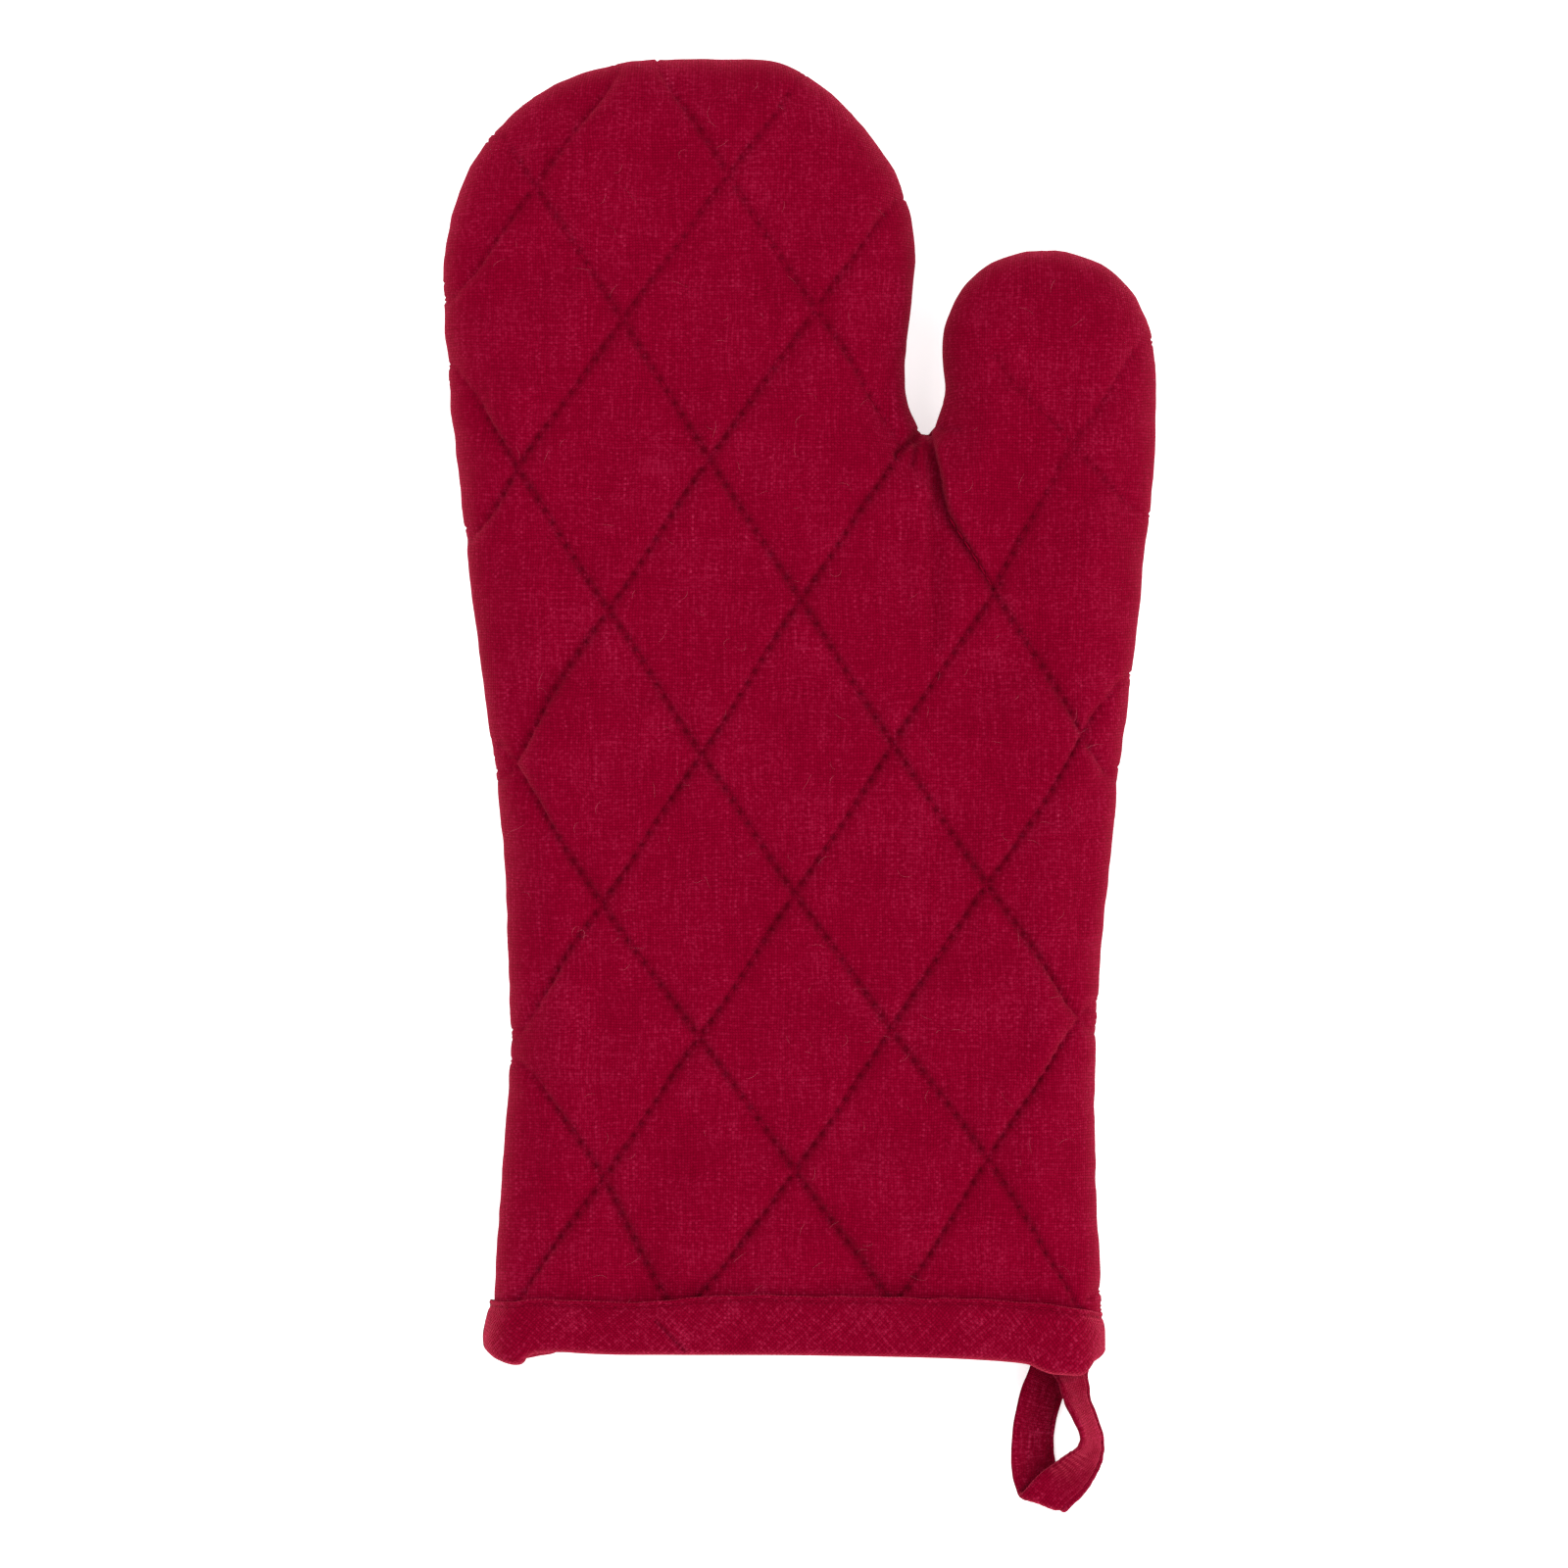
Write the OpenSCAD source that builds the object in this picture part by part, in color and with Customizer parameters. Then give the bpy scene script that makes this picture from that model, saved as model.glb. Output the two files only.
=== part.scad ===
/* [Mitt] */
// Length from the cuff edge to the fingertips
mitt_length = 330; // [300:1:360]
// Width across the fingers and the thumb
mitt_width = 181; // [165:1:200]
// Rise of the back's outer face above the side seam
back_rise = 15; // [14:0.5:18]
// Drop of the palm's outer face below the side seam
palm_drop = 13; // [13:0.5:16]
// Width of the rounded rim along the side seam
rim_width = 16; // [14:0.5:17]

/* [Layers] */
// Thickness of the outer cloth and of the lining
cloth = 0.9; // [0.6:0.1:1.1]
// Thickness of the batting in the hand
batting = 4.2; // [3:0.1:4.5]
// Thickness of the batting where the binding clamps it
cuff_batting = 2.2; // [1.8:0.1:2.6]
// Width of the seam allowance that shows inside the pocket
seam_allowance = 7; // [5:0.5:8]

/* [Quilting] */
// Width of one quilted diamond
diamond_width = 48.6; // [40:0.2:60]
// Height of one quilted diamond
diamond_height = 72.8; // [60:0.2:90]
// Lean of the columns of diamonds towards the thumb, in degrees
lean = 1.5; // [0:0.1:3]
// Climb of the rows of diamonds towards the thumb, in degrees
climb = 2.7; // [0:0.1:4]
// Thickness of the sewing thread
thread = 0.5; // [0.4:0.05:0.7]

/* [Cuff] */
// Height of the binding on the outside
binding_height = 15; // [12:0.5:18]
// Height of the binding inside the mouth
binding_inside = 13; // [10:0.5:16]
// Thickness of the folded bias tape
binding = 0.9; // [0.7:0.1:1]

/* [Hanging loop] */
// Width of the loop's folded tape
tape_width = 12; // [10:0.5:12]
// Thickness of the loop's folded tape
tape = 1.3; // [1:0.1:1.4]
// Distance from the cuff edge to the line that the loop swings about
loop_reach = 3.2; // [3:0.1:4]

/* [Hidden] */
$fn = 48;

BACK = 1;
PALM = -1;
gap = 0.05;              // air between two layers of cloth
cuff_rim = 9.5;          // width of the rounded rim at the mouth
cuff_inset = 1.2;        // how much lower both faces are under the binding
cuff_start = 16;         // height above the cuff edge where the walls start to thicken
cuff_end = 30;           // height where they have their full thickness
arc_steps = 5;           // chords in the rounded rim
stitch_depth = 0.4;      // how deep a stitch lies in the cloth
stitch_proud = 0.1;      // how far a stitch stands out of the cloth
top_stitch_proud = 0.2;  // the same for the quilting on the back
through = 60;            // longer than any part is thick
mouth_y = binding + gap; // where the cloth layers end inside the binding
allowance_at_mouth = 0.2; // width of the seam allowance left under the binding
side_seam_inset = 0.35;  // from the silhouette in to the side seam's thread
binding_seam = 1.6;      // from the binding's upper edge down to its stitches

// The pattern piece at its nominal size, from the left cuff corner round the fingers, the crotch
// and the thumb to the right cuff corner. X runs across from the middle of the cuff.
pattern_length = 330;
pattern_width = 181;
pattern = [
    [-78.5, 1], [-78, 18], [-75.5, 45], [-73.2, 82], [-75, 128], [-80.5, 178],
    [-85.5, 217], [-89.3, 256], [-89.8, 279], [-83.5, 303],
    [-64, 323], [-43, 330], [-24, 330.5], [-4, 329.5],
    [12, 318], [25.3, 300], [29.4, 282], [27, 259],
    [27.6, 243], [32.4, 235.5], [36.3, 243], [37.2, 262],
    [44, 275], [55, 281], [70, 281], [82, 274.5], [89.2, 261],
    [90.7, 248], [88, 208], [83, 163], [77.6, 115],
    [75.3, 78], [75.6, 35], [77, 18], [77, 1]
];
scale_x = mitt_width / pattern_width;
scale_y = mitt_length / pattern_length;
function sized(p) = [p.x * scale_x, p.y * scale_y];
function at_mouth(p) = [p.x * scale_x, mouth_y];
last_point = len(pattern) - 1;
outline = [for (i = [0 : last_point])
    i == 0 || i == last_point ? at_mouth(pattern[i]) : sized(pattern[i])];

// The ridge that the flat of each face closes on: from the mouth to a fork below the crotch, and
// from there up the fingers and up the thumb.
mouth_middle = at_mouth([-0.75, 0]);
fork = sized([20, 190]);
finger_root = sized([-30, 272]);
thumb_bend = sized([50, 208]);
thumb_root = sized([64, 250]);

// Quilting lattice
diamond_node = sized([-0.75, 118.7]);
diamond_slant = atan(diamond_width / diamond_height);

// Heights off the seam plane inside the seam allowance
seam_batting = 1.9;
seam_cloth = 0.6;
seam_plane_gap = 0.1;
g_shell = seam_plane_gap;
g_shell_in = g_shell + seam_cloth;
g_batting = g_shell_in + gap;
g_batting_in = g_batting + seam_batting;
g_lining = g_batting_in + gap;
g_lining_in = g_lining + seam_cloth;

// The loop's path from its front strand round to its back strand: x and y from the loop's root, z
// above the table, and the tilt of the tape in degrees.
loop_x = 65.5 * scale_x;
loop_middle = loop_x + 0.5; // between the two ends of the tape
loop_z = 7;
strand_apart = 0.5;
front_z = loop_z - tape / 2 - strand_apart / 2;
rear_z = loop_z + tape / 2 + strand_apart / 2;
loop_path = [
    [0, 0, front_z, 0], [-1, -5, 4.8, 0], [-3, -11, 3.4, -4], [-5.2, -17, 2.8, -10],
    [-5.8, -22.5, 3.2, -20], [-4.2, -27.5, 4.6, -36], [0, -30.8, 5.8, -50],
    [5, -30, 6.6, -62], [8.4, -25.5, 7, -70], [9.4, -19.5, 7.2, -74],
    [8.6, -14, 7.6, -68], [6, -9, 8.2, -42], [2.8, -4.5, rear_z + 0.3, -10],
    [1, 0, rear_z, 0]
];
roll_proud = 0.2;         // how far the loop's rolled root stands out beyond the tape
roll_overhang = 0.6;      // and beyond each edge of it
roll_radius = loop_z - front_z + tape / 2 + roll_proud;
roll_clearance = 0.85;
tail_margin = 2;          // from the end of the tape to the binding's inner edge
edge_margin = 1.8;        // from the tape's edge to its stitching
edge_seam = tape_width / 2 - edge_margin;

function mix(a, b, u) = a + (b - a) * u;
function smooth(u) = let (v = min(max(u, 0), 1)) v * v * (3 - 2 * v);
function unit(v) = v / norm(v);

// A smooth curve through points, with tangents weighted by the distances between them
function ahead(list, i) = i < 0 ? 2 * list[0] - list[1]
    : i >= len(list) ? 2 * list[len(list) - 1] - list[len(list) - 2]
    : list[i];
function tangent(a, b, c) = let (d = norm(b - a), e = norm(c - b))
    ((c - b) / e * d + (b - a) / d * e) / (d + e);
function curve(list, u) =
    let (
        i = min(floor(u), len(list) - 2),
        s = u - i,
        a = list[i],
        b = list[i + 1],
        length = norm(b - a),
        m = tangent(ahead(list, i - 1), a, b) * length,
        n = tangent(a, b, ahead(list, i + 2)) * length
    )
    a * (2 * s^3 - 3 * s^2 + 1) + m * (s^3 - 2 * s^2 + s)
    + b * (3 * s^2 - 2 * s^3) + n * (s^3 - s^2);

// Each stretch of the outline: where it starts and ends along the pattern, how many chords it
// has, the stretch of ridge that faces it, and whether it runs back along that ridge.
side_chords = 12;
finger_chords = 4;
thumb_chords = 5;
side_ridge = [mouth_middle, fork];
finger_ridge = [fork, finger_root];
thumb_ridge = [fork, thumb_bend, thumb_root];
stretches = [
    [0, 6, side_chords, side_ridge, false],
    [6, 8, finger_chords, finger_ridge, false],
    [8, 16, 18, [finger_root], false],
    [16, 18.4, finger_chords, finger_ridge, true],
    [18.4, 19, 3, [fork], false],
    [19, 21, thumb_chords, thumb_ridge, false],
    [21, 27, 12, [thumb_root], false],
    [27, 28.6, thumb_chords, thumb_ridge, true],
    [28.6, last_point, side_chords, side_ridge, true]
];
function along(list, k, chords) =
    let (v = k * (len(list) - 1) / chords, i = min(floor(v), len(list) - 2))
    len(list) == 1 ? list[0] : mix(list[i], list[i + 1], v - i);
samples = concat(
    [for (s = stretches, k = [0 : s[2] - 1])
        [mix(s[0], s[1], k / s[2]), along(s[3], s[4] ? s[2] - k : k, s[2])]],
    [[last_point, mouth_middle]]
);
rays = len(samples);
rim = [for (s = samples) curve(outline, s[0])];
ridge = [for (s = samples) s[1]];
inward = [for (i = [0 : rays - 1])
    i == 0 ? [1, 0] : i == rays - 1 ? [-1, 0]
    : let (t = unit(rim[i + 1] - rim[i - 1])) [t.y, -t.x]];

// How much of its full padding the mitt has at a height above the cuff
function fullness(y) = smooth((y - cuff_start) / (cuff_end - cuff_start));
function rise(side, f) = (side == BACK ? back_rise : palm_drop) - cuff_inset * (1 - f);
function rim_at(f) = mix(cuff_rim, rim_width, f);

// Depths of the layers' faces below the outer face, where the padding is f full
shell_out = function (f) 0;
shell_in = function (f) cloth;
batting_out = function (f) cloth + gap;
batting_in = function (f) cloth + gap + mix(cuff_batting, batting, f);
lining_out = function (f) batting_in(f) + gap;
lining_in = function (f) lining_out(f) + cloth;
function allowance_at(f) = lining_in(f) + allowance_at_mouth + seam_allowance * f;

// The rounded rim at depth d, as distances in from the silhouette and heights off the seam
function section(d, g, h, r) = [for (s = [0 : arc_steps])
    let (a = 90 * (1 - s / arc_steps)) [d + (r - d) * (1 - cos(a)), g + (h - d - g) * sin(a)]];
function spot(i, p, side) =
    [rim[i].x + inward[i].x * p.x, rim[i].y + inward[i].y * p.x, palm_drop + side * p.y];

// One face of a layer along ray i, from the ridge to the end of the seam allowance
function face(i, side, depth, g) =
    let (f = fullness(rim[i].y), f_ridge = fullness(ridge[i].y))
    concat(
        [[ridge[i].x, ridge[i].y, palm_drop + side * (rise(side, f_ridge) - depth(f_ridge))]],
        [for (p = section(depth(f), g, rise(side, f), rim_at(f))) spot(i, p, side)],
        [spot(i, [allowance_at(f), g], side)]
    );

// A closed layer between two faces, each with its depth and its height off the seam plane
module layer(side, depth_out, depth_in, g_out, g_in) {
    faces_out = [for (i = [0 : rays - 1]) face(i, side, depth_out, g_out)];
    faces_in = [for (i = [0 : rays - 1]) face(i, side, depth_in, g_in)];
    n = len(faces_out[0]);
    points = concat([for (f = faces_out, p = f) p], [for (f = faces_in, p = f) p]);
    o = function (i, k) i * n + k;
    q = function (i, k) (rays + i) * n + k;
    quads = concat(
        [for (i = [0 : rays - 2], k = [0 : n - 2])
            [o(i, k), o(i + 1, k), o(i + 1, k + 1), o(i, k + 1)]],
        [for (i = [0 : rays - 2], k = [0 : n - 2])
            [q(i, k), q(i, k + 1), q(i + 1, k + 1), q(i + 1, k)]],
        [for (i = [0 : rays - 2]) [o(i, n - 1), o(i + 1, n - 1), q(i + 1, n - 1), q(i, n - 1)]],
        [for (k = [0 : n - 2]) [o(0, k), o(0, k + 1), q(0, k + 1), q(0, k)]],
        [for (k = [0 : n - 2]) [o(rays - 1, k), q(rays - 1, k), q(rays - 1, k + 1), o(rays - 1, k + 1)]]
    );
    solid(points, quads, side == PALM);
}

// A closed body from quads, each split into two triangles
module solid(points, quads, flip = false) {
    triangles = [for (f = quads, t = [[f[0], f[1], f[2]], [f[0], f[2], f[3]]])
        if (points[t[0]] != points[t[1]] && points[t[1]] != points[t[2]] && points[t[0]] != points[t[2]])
            flip ? t : [t[2], t[1], t[0]]];
    polyhedron(points, triangles);
}

// A sweep of one section along a row of stations, closed on itself or capped with flat ends
module sweep(stations, closed = false, flip = false) {
    n = len(stations);
    m = len(stations[0]);
    points = [for (s = stations, p = s) p];
    last = closed ? n - 1 : n - 2;
    quads = [for (i = [0 : last], k = [0 : m - 1])
        let (j = (i + 1) % n, l = (k + 1) % m) [i * m + k, j * m + k, j * m + l, i * m + l]];
    caps = closed ? [] : [[0, 1, 2, 3], [for (k = [3 : -1 : 0]) (n - 1) * m + k]];
    solid(points, concat(quads, caps), flip);
}

module shell(side) {
    layer(side, shell_out, shell_in, g_shell, g_shell_in);
}

module padding(side) {
    layer(side, batting_out, batting_in, g_batting, g_batting_in);
}

module lining(side) {
    layer(side, lining_out, lining_in, g_lining, g_lining_in);
}

// Upright walls on the lines of the diamond lattice
module lattice() {
    lines = ceil(mitt_length / diamond_width);
    translate(diamond_node)
        multmatrix([[1, tan(lean), 0, 0], [tan(climb), 1, 0, 0], [0, 0, 1, 0]])
            for (slant = [-diamond_slant, diamond_slant], k = [-lines : lines])
                translate([k * diamond_width, 0, 0])
                    rotate(slant)
                        cube([thread, 3 * mitt_length, 2 * through], center = true);
}

// Where the rounded rim meets the flat of a face, above the part that the binding clamps
flat = [for (i = [0 : rays - 1])
    let (p = spot(i, [rim_width, 0], BACK))
    if (p.y > cuff_end) [p.x, p.y]];

// The stitches that lie in the flat of a face, from a depth below the outer face to a deeper one
module stitches(side, from, to) {
    low = palm_drop + (side == BACK ? rise(BACK, 1) - to : from - rise(PALM, 1));
    intersection() {
        translate([0, 0, low])
            linear_extrude(to - from)
                polygon(flat);
        lattice();
    }
}

module quilting_thread(side) {
    stitches(side, side == BACK ? -top_stitch_proud : 0, stitch_depth);
}

module bobbin_thread(side) {
    stitches(side, lining_in(1) - stitch_depth, lining_in(1) + stitch_proud);
}

// The mouth's closed outline at depth d, seen along the mitt
left_x = rim[0].x;
right_x = rim[rays - 1].x;
function mouth(d) =
    let (
        back = section(d, 0, rise(BACK, 0), cuff_rim),
        palm = section(d, 0, rise(PALM, 0), cuff_rim),
        n = arc_steps
    )
    concat(
        [for (k = [n : -1 : 0]) [left_x + back[k].x, palm_drop + back[k].y]],
        [for (k = [0 : n]) [right_x - back[k].x, palm_drop + back[k].y]],
        [for (k = [n - 1 : -1 : 0]) [right_x - palm[k].x, palm_drop - palm[k].y]],
        [for (k = [0 : n - 1]) [left_x + palm[k].x, palm_drop - palm[k].y]]
    );

// A section of depths and heights carried round the mouth
module round_mouth(section_points) {
    paths = [for (p = section_points) mouth(p.x)];
    sweep([for (j = [0 : len(paths[0]) - 1])
        [for (k = [0 : len(section_points) - 1])
            [paths[k][j].x, section_points[k].y, paths[k][j].y]]], closed = true);
}

wall_in = lining_in(0);
module binding_tape() {
    out = -gap - binding;
    in = wall_in + gap + binding;
    round_mouth([
        [out, 0], [out, binding_height], [-gap, binding_height], [-gap, binding],
        [wall_in + gap, binding], [wall_in + gap, binding_inside], [in, binding_inside], [in, 0]
    ]);
}

module binding_stitch() {
    out = -gap - binding - stitch_proud;
    in = -gap - binding + stitch_depth;
    y = binding_height - binding_seam;
    round_mouth([[out, y], [out, y + thread], [in, y + thread], [in, y]]);
}

// Thread of the side seam, just inside the silhouette
module side_seam() {
    t = side_seam_inset;
    sweep([for (i = [0 : rays - 1]) [
        spot(i, [t, -thread / 2], BACK), spot(i, [t + thread, -thread / 2], BACK),
        spot(i, [t + thread, thread / 2], BACK), spot(i, [t, thread / 2], BACK)
    ]]);
}

// Corners of a flat strip along the loop's path, laid across the tape and off its face
loop_steps = 3;
loop_last = loop_steps * (len(loop_path) - 1);
loop_points = [for (i = [0 : loop_last]) curve(loop_path, i / loop_steps)];
function place(p) = [loop_x + p.x, p.y - loop_reach, p.z];
function heading(i) = i == 0 ? [0, -1, 0] : i == loop_last ? [0, 1, 0]
    : unit(place(loop_points[i + 1]) - place(loop_points[i - 1]));
function strip(i, from, to, low, high) =
    let (
        t = heading(i),
        tilt = loop_points[i][3],
        level = unit(cross([0, 0, 1], t)),
        up = cross(t, level),
        across = level * cos(tilt) - up * sin(tilt),
        off = cross(t, across),
        c = place(loop_points[i])
    )
    [
        c + across * from + off * low, c + across * to + off * low,
        c + across * to + off * high, c + across * from + off * high
    ];
loop_strips = [for (i = [0 : loop_last]) strip(i, -tape_width / 2, tape_width / 2, -tape / 2, tape / 2)];

module loop_roll(radius, length) {
    translate([loop_middle, -loop_reach, loop_z])
        rotate([0, 90, 0])
            cylinder(r = radius, h = length, center = true);
}

// Both ends of the tape side by side, from inside the binding to the rolled root of the loop
module tails() {
    difference() {
        translate([loop_middle - tape_width / 2, -loop_reach, front_z - tape / 2])
            cube([tape_width, loop_reach + binding_inside - tail_margin, rear_z - front_z + tape]);
        loop_roll(roll_radius + roll_clearance, 2 * tape_width);
    }
}

module loop() {
    sweep(loop_strips, flip = true);
    loop_roll(roll_radius, tape_width + 2 * roll_overhang);
}

// Edge stitching of the loop, away from both ends of its tape
module loop_stitch() {
    sweep([for (i = [loop_steps : loop_last - loop_steps])
        strip(i, edge_seam, edge_seam + thread,
            -tape / 2 - stitch_proud, -tape / 2 + stitch_depth)], flip = true);
}

// The frame's origin is under the middle of the whole mitt
all_x = concat([for (p = rim) p.x], [left_x - gap - binding]);
low_y = min([for (s = loop_strips, p = s) p.y]);
origin_x = (min(all_x) + max(all_x)) / 2;
origin_y = (max([for (p = rim) p.y]) + low_y) / 2;
module placed() {
    translate([-origin_x, -origin_y, 0]) children();
}

module back_shell() { color("crimson") placed() shell(BACK); }
module back_batting() { color("whitesmoke") placed() padding(BACK); }
module back_lining() { color("firebrick") placed() lining(BACK); }
module back_quilting_thread() { color("darkred") placed() quilting_thread(BACK); }
module back_bobbin_thread() { color("maroon") placed() bobbin_thread(BACK); }
module palm_shell() { color("crimson") placed() shell(PALM); }
module palm_batting() { color("whitesmoke") placed() padding(PALM); }
module palm_lining() { color("firebrick") placed() lining(PALM); }
module palm_quilting_thread() { color("darkred") placed() quilting_thread(PALM); }
module palm_bobbin_thread() { color("maroon") placed() bobbin_thread(PALM); }
module side_seam_thread() { color("darkred") placed() side_seam(); }
module cuff_binding() { color("brown") placed() binding_tape(); }
module binding_thread() { color("darkred") placed() binding_stitch(); }
module loop_tails() { color("brown") placed() tails(); }
module hanging_loop() { color("brown") placed() loop(); }
module loop_edge_thread() { color("darkred") placed() loop_stitch(); }

back_shell();
back_batting();
back_lining();
back_quilting_thread();
back_bobbin_thread();
palm_shell();
palm_batting();
palm_lining();
palm_quilting_thread();
palm_bobbin_thread();
side_seam_thread();
cuff_binding();
binding_thread();
loop_tails();
hanging_loop();
loop_edge_thread();
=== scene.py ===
"""A quilted oven mitt lying palm down: two padded panels, their stitching, the cuff binding and
the hanging loop. Shapes are worked out in millimetres in the row frame and made in metres."""
import math

import bmesh
import bpy
import numpy as np
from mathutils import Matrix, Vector
from mathutils.bvhtree import BVHTree
from mathutils.geometry import delaunay_2d_cdt


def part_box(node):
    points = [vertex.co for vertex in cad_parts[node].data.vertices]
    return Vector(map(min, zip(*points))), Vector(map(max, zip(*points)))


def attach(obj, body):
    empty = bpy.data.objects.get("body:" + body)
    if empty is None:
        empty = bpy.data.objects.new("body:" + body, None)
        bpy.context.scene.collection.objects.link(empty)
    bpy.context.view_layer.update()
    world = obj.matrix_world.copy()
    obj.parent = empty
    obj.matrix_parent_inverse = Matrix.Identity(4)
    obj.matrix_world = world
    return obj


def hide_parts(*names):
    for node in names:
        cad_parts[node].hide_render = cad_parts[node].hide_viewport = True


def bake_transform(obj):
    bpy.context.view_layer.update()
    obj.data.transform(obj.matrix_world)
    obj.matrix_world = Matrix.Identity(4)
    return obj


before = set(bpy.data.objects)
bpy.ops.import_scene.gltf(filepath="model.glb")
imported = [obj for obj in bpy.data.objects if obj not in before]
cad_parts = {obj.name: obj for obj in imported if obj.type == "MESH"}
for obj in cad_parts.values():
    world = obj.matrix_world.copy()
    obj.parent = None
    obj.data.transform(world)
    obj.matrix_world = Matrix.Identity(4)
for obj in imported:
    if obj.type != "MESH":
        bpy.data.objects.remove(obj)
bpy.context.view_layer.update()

MM = 0.001
BACK, PALM = 1, -1

# ---------------------------------------------------------------- sizes, in millimetres
RIM = 16.0               # width of the rounded rim along the seam
CUFF_RIM = 9.5           # the same at the mouth
CUFF_INSET = 1.2         # how much lower the faces lie under the binding
CUFF_START, CUFF_END = 16.0, 30.0   # where the walls thicken, above the mouth
WALL, CUFF_WALL = 6.0, 3.9          # shell, batting and lining together
STITCH = 3.5             # pitch of the quilting stitches
PUFF_DROP = 1.3          # how far below the padded faces' tops the quilting pulls them
GROOVE, GROOVE_REACH = 1.35, 2.8    # the wide pull of a quilting line
SLOT, SLOT_REACH = 0.85, 0.8       # the narrow crease that its stitches lie in
BINDING = 0.95           # thickness of the bias tape
WEAVE = 0.72             # thread pitch of the cloth
PUFF = 1.9               # rise of the middle of a diamond above its quilting
RIM_PUFF = 0.30          # how far the padding swells the rim beside the seam
SEAM_PULL = 0.5          # how far the side seam draws in
CUFF_MIDDLE = 0.75       # from the middle of the binding to the pattern's middle


def box_mm(node):
    low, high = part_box(node)
    return np.array(low) / MM, np.array(high) / MM


shell_low, shell_high = box_mm("back_shell")
palm_low, palm_high = box_mm("palm_shell")
binding_low, binding_high = box_mm("cuff_binding")
SEAM_Z = (shell_low[2] + palm_high[2]) / 2
RISE = {BACK: shell_high[2] - SEAM_Z, PALM: SEAM_Z - palm_low[2]}
MOUTH_Y = shell_low[1]
CUFF_X = (binding_low[0] + binding_high[0]) / 2 + CUFF_MIDDLE
CUFF_Y = binding_low[1]          # lower edge of the binding


# ---------------------------------------------------------------- small helpers
def smooth(low, high, value):
    t = np.clip((value - low) / (high - low), 0, 1)
    return t * t * (3 - 2 * t)


def bell(distance, reach):
    return np.exp(-((distance / reach) ** 2))


def unit(rows, least=0.0):
    """Each row at length one, or shorter where it is below the least length."""
    return rows / np.maximum(np.linalg.norm(rows, axis=1), least)[:, None]


def headings(path):
    return unit(np.gradient(path, axis=0))


def leftward(ahead):
    """A quarter turn to the left of each heading in plan."""
    return np.column_stack([-ahead[:, 1], ahead[:, 0]])


def travelled(path):
    """How far along a path each of its points is."""
    return np.concatenate([[0], np.cumsum(np.linalg.norm(np.diff(path, axis=0), axis=1))])


def spline(points, step):
    """Points every step along a centripetal Catmull-Rom curve through the given points."""
    points = np.asarray(points, float)
    ends = np.vstack([2 * points[0] - points[1], points, 2 * points[-1] - points[-2]])
    made = []
    for a, b, c, d in zip(ends, ends[1:], ends[2:], ends[3:]):
        t0 = 0.0
        t1 = t0 + max(np.linalg.norm(b[:2] - a[:2]), 1e-6) ** 0.5
        t2 = t1 + max(np.linalg.norm(c[:2] - b[:2]), 1e-6) ** 0.5
        t3 = t2 + max(np.linalg.norm(d[:2] - c[:2]), 1e-6) ** 0.5
        count = max(1, int(np.ceil(np.linalg.norm(c[:2] - b[:2]) / step * 2)))
        for t in np.linspace(t1, t2, count, endpoint=False):
            ab = a + (b - a) * (t - t0) / (t1 - t0)
            bc = b + (c - b) * (t - t1) / (t2 - t1)
            cd = c + (d - c) * (t - t2) / (t3 - t2)
            abc = ab + (bc - ab) * (t - t0) / (t2 - t0)
            bcd = bc + (cd - bc) * (t - t1) / (t3 - t1)
            made.append(abc + (bcd - abc) * (t - t1) / (t2 - t1))
    made.append(points[-1])
    return resample(np.array(made), step)


def resample(points, step):
    lengths = travelled(points)
    at = np.linspace(0, lengths[-1], max(2, int(round(lengths[-1] / step)) + 1))
    return np.stack([np.interp(at, lengths, points[:, k]) for k in range(points.shape[1])], axis=1)


def waves(x, y, size, seed, count=7):
    """Smooth seeded unevenness, about -1 to 1, with features of the given size."""
    draw = np.random.default_rng(seed)
    total = 0
    for _ in range(count):
        turn, phase, scale = draw.uniform(0, math.pi), draw.uniform(0, 6.28), draw.uniform(0.7, 1.5)
        total = total + np.sin((x * math.cos(turn) + y * math.sin(turn)) * 6.28 * scale / size + phase)
    return total / count ** 0.5 * 0.8


def nearest(spots, path):
    """Distance to a path, its closest point, how far along it that is, and which side (+ is left)."""
    a, b = path[:-1], path[1:]
    d = b - a
    length = np.linalg.norm(d, axis=1)
    start = np.concatenate([[0], np.cumsum(length)])[:-1]
    distance, foot, along, side = [], [], [], []
    for part in np.array_split(spots, max(1, len(spots) * len(a) // 2500000 + 1)):
        to = part[:, None, :] - a[None]
        t = np.clip((to * d).sum(2) / (length ** 2), 0, 1)
        gap = to - t[..., None] * d
        far = np.hypot(gap[..., 0], gap[..., 1])
        i = far.argmin(1)
        r = np.arange(len(part))
        distance.append(far[r, i])
        foot.append(a[i] + t[r, i, None] * d[i])
        along.append(start[i] + t[r, i] * length[i])
        side.append(np.sign(d[i, 0] * to[r, i, 1] - d[i, 1] * to[r, i, 0]))
    return (np.concatenate(distance), np.concatenate(foot), np.concatenate(along),
            np.concatenate(side))


def piece(name, verts, faces):
    """A smooth shaded mesh object from points in millimetres."""
    mesh = bpy.data.meshes.new(name)
    mesh.from_pydata((np.asarray(verts) * MM).tolist(), [], [list(f) for f in faces])
    mesh.validate()
    mesh.polygons.foreach_set("use_smooth", [True] * len(mesh.polygons))
    made = bpy.data.objects.new(name, mesh)
    bpy.context.scene.collection.objects.link(made)
    return made


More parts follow.
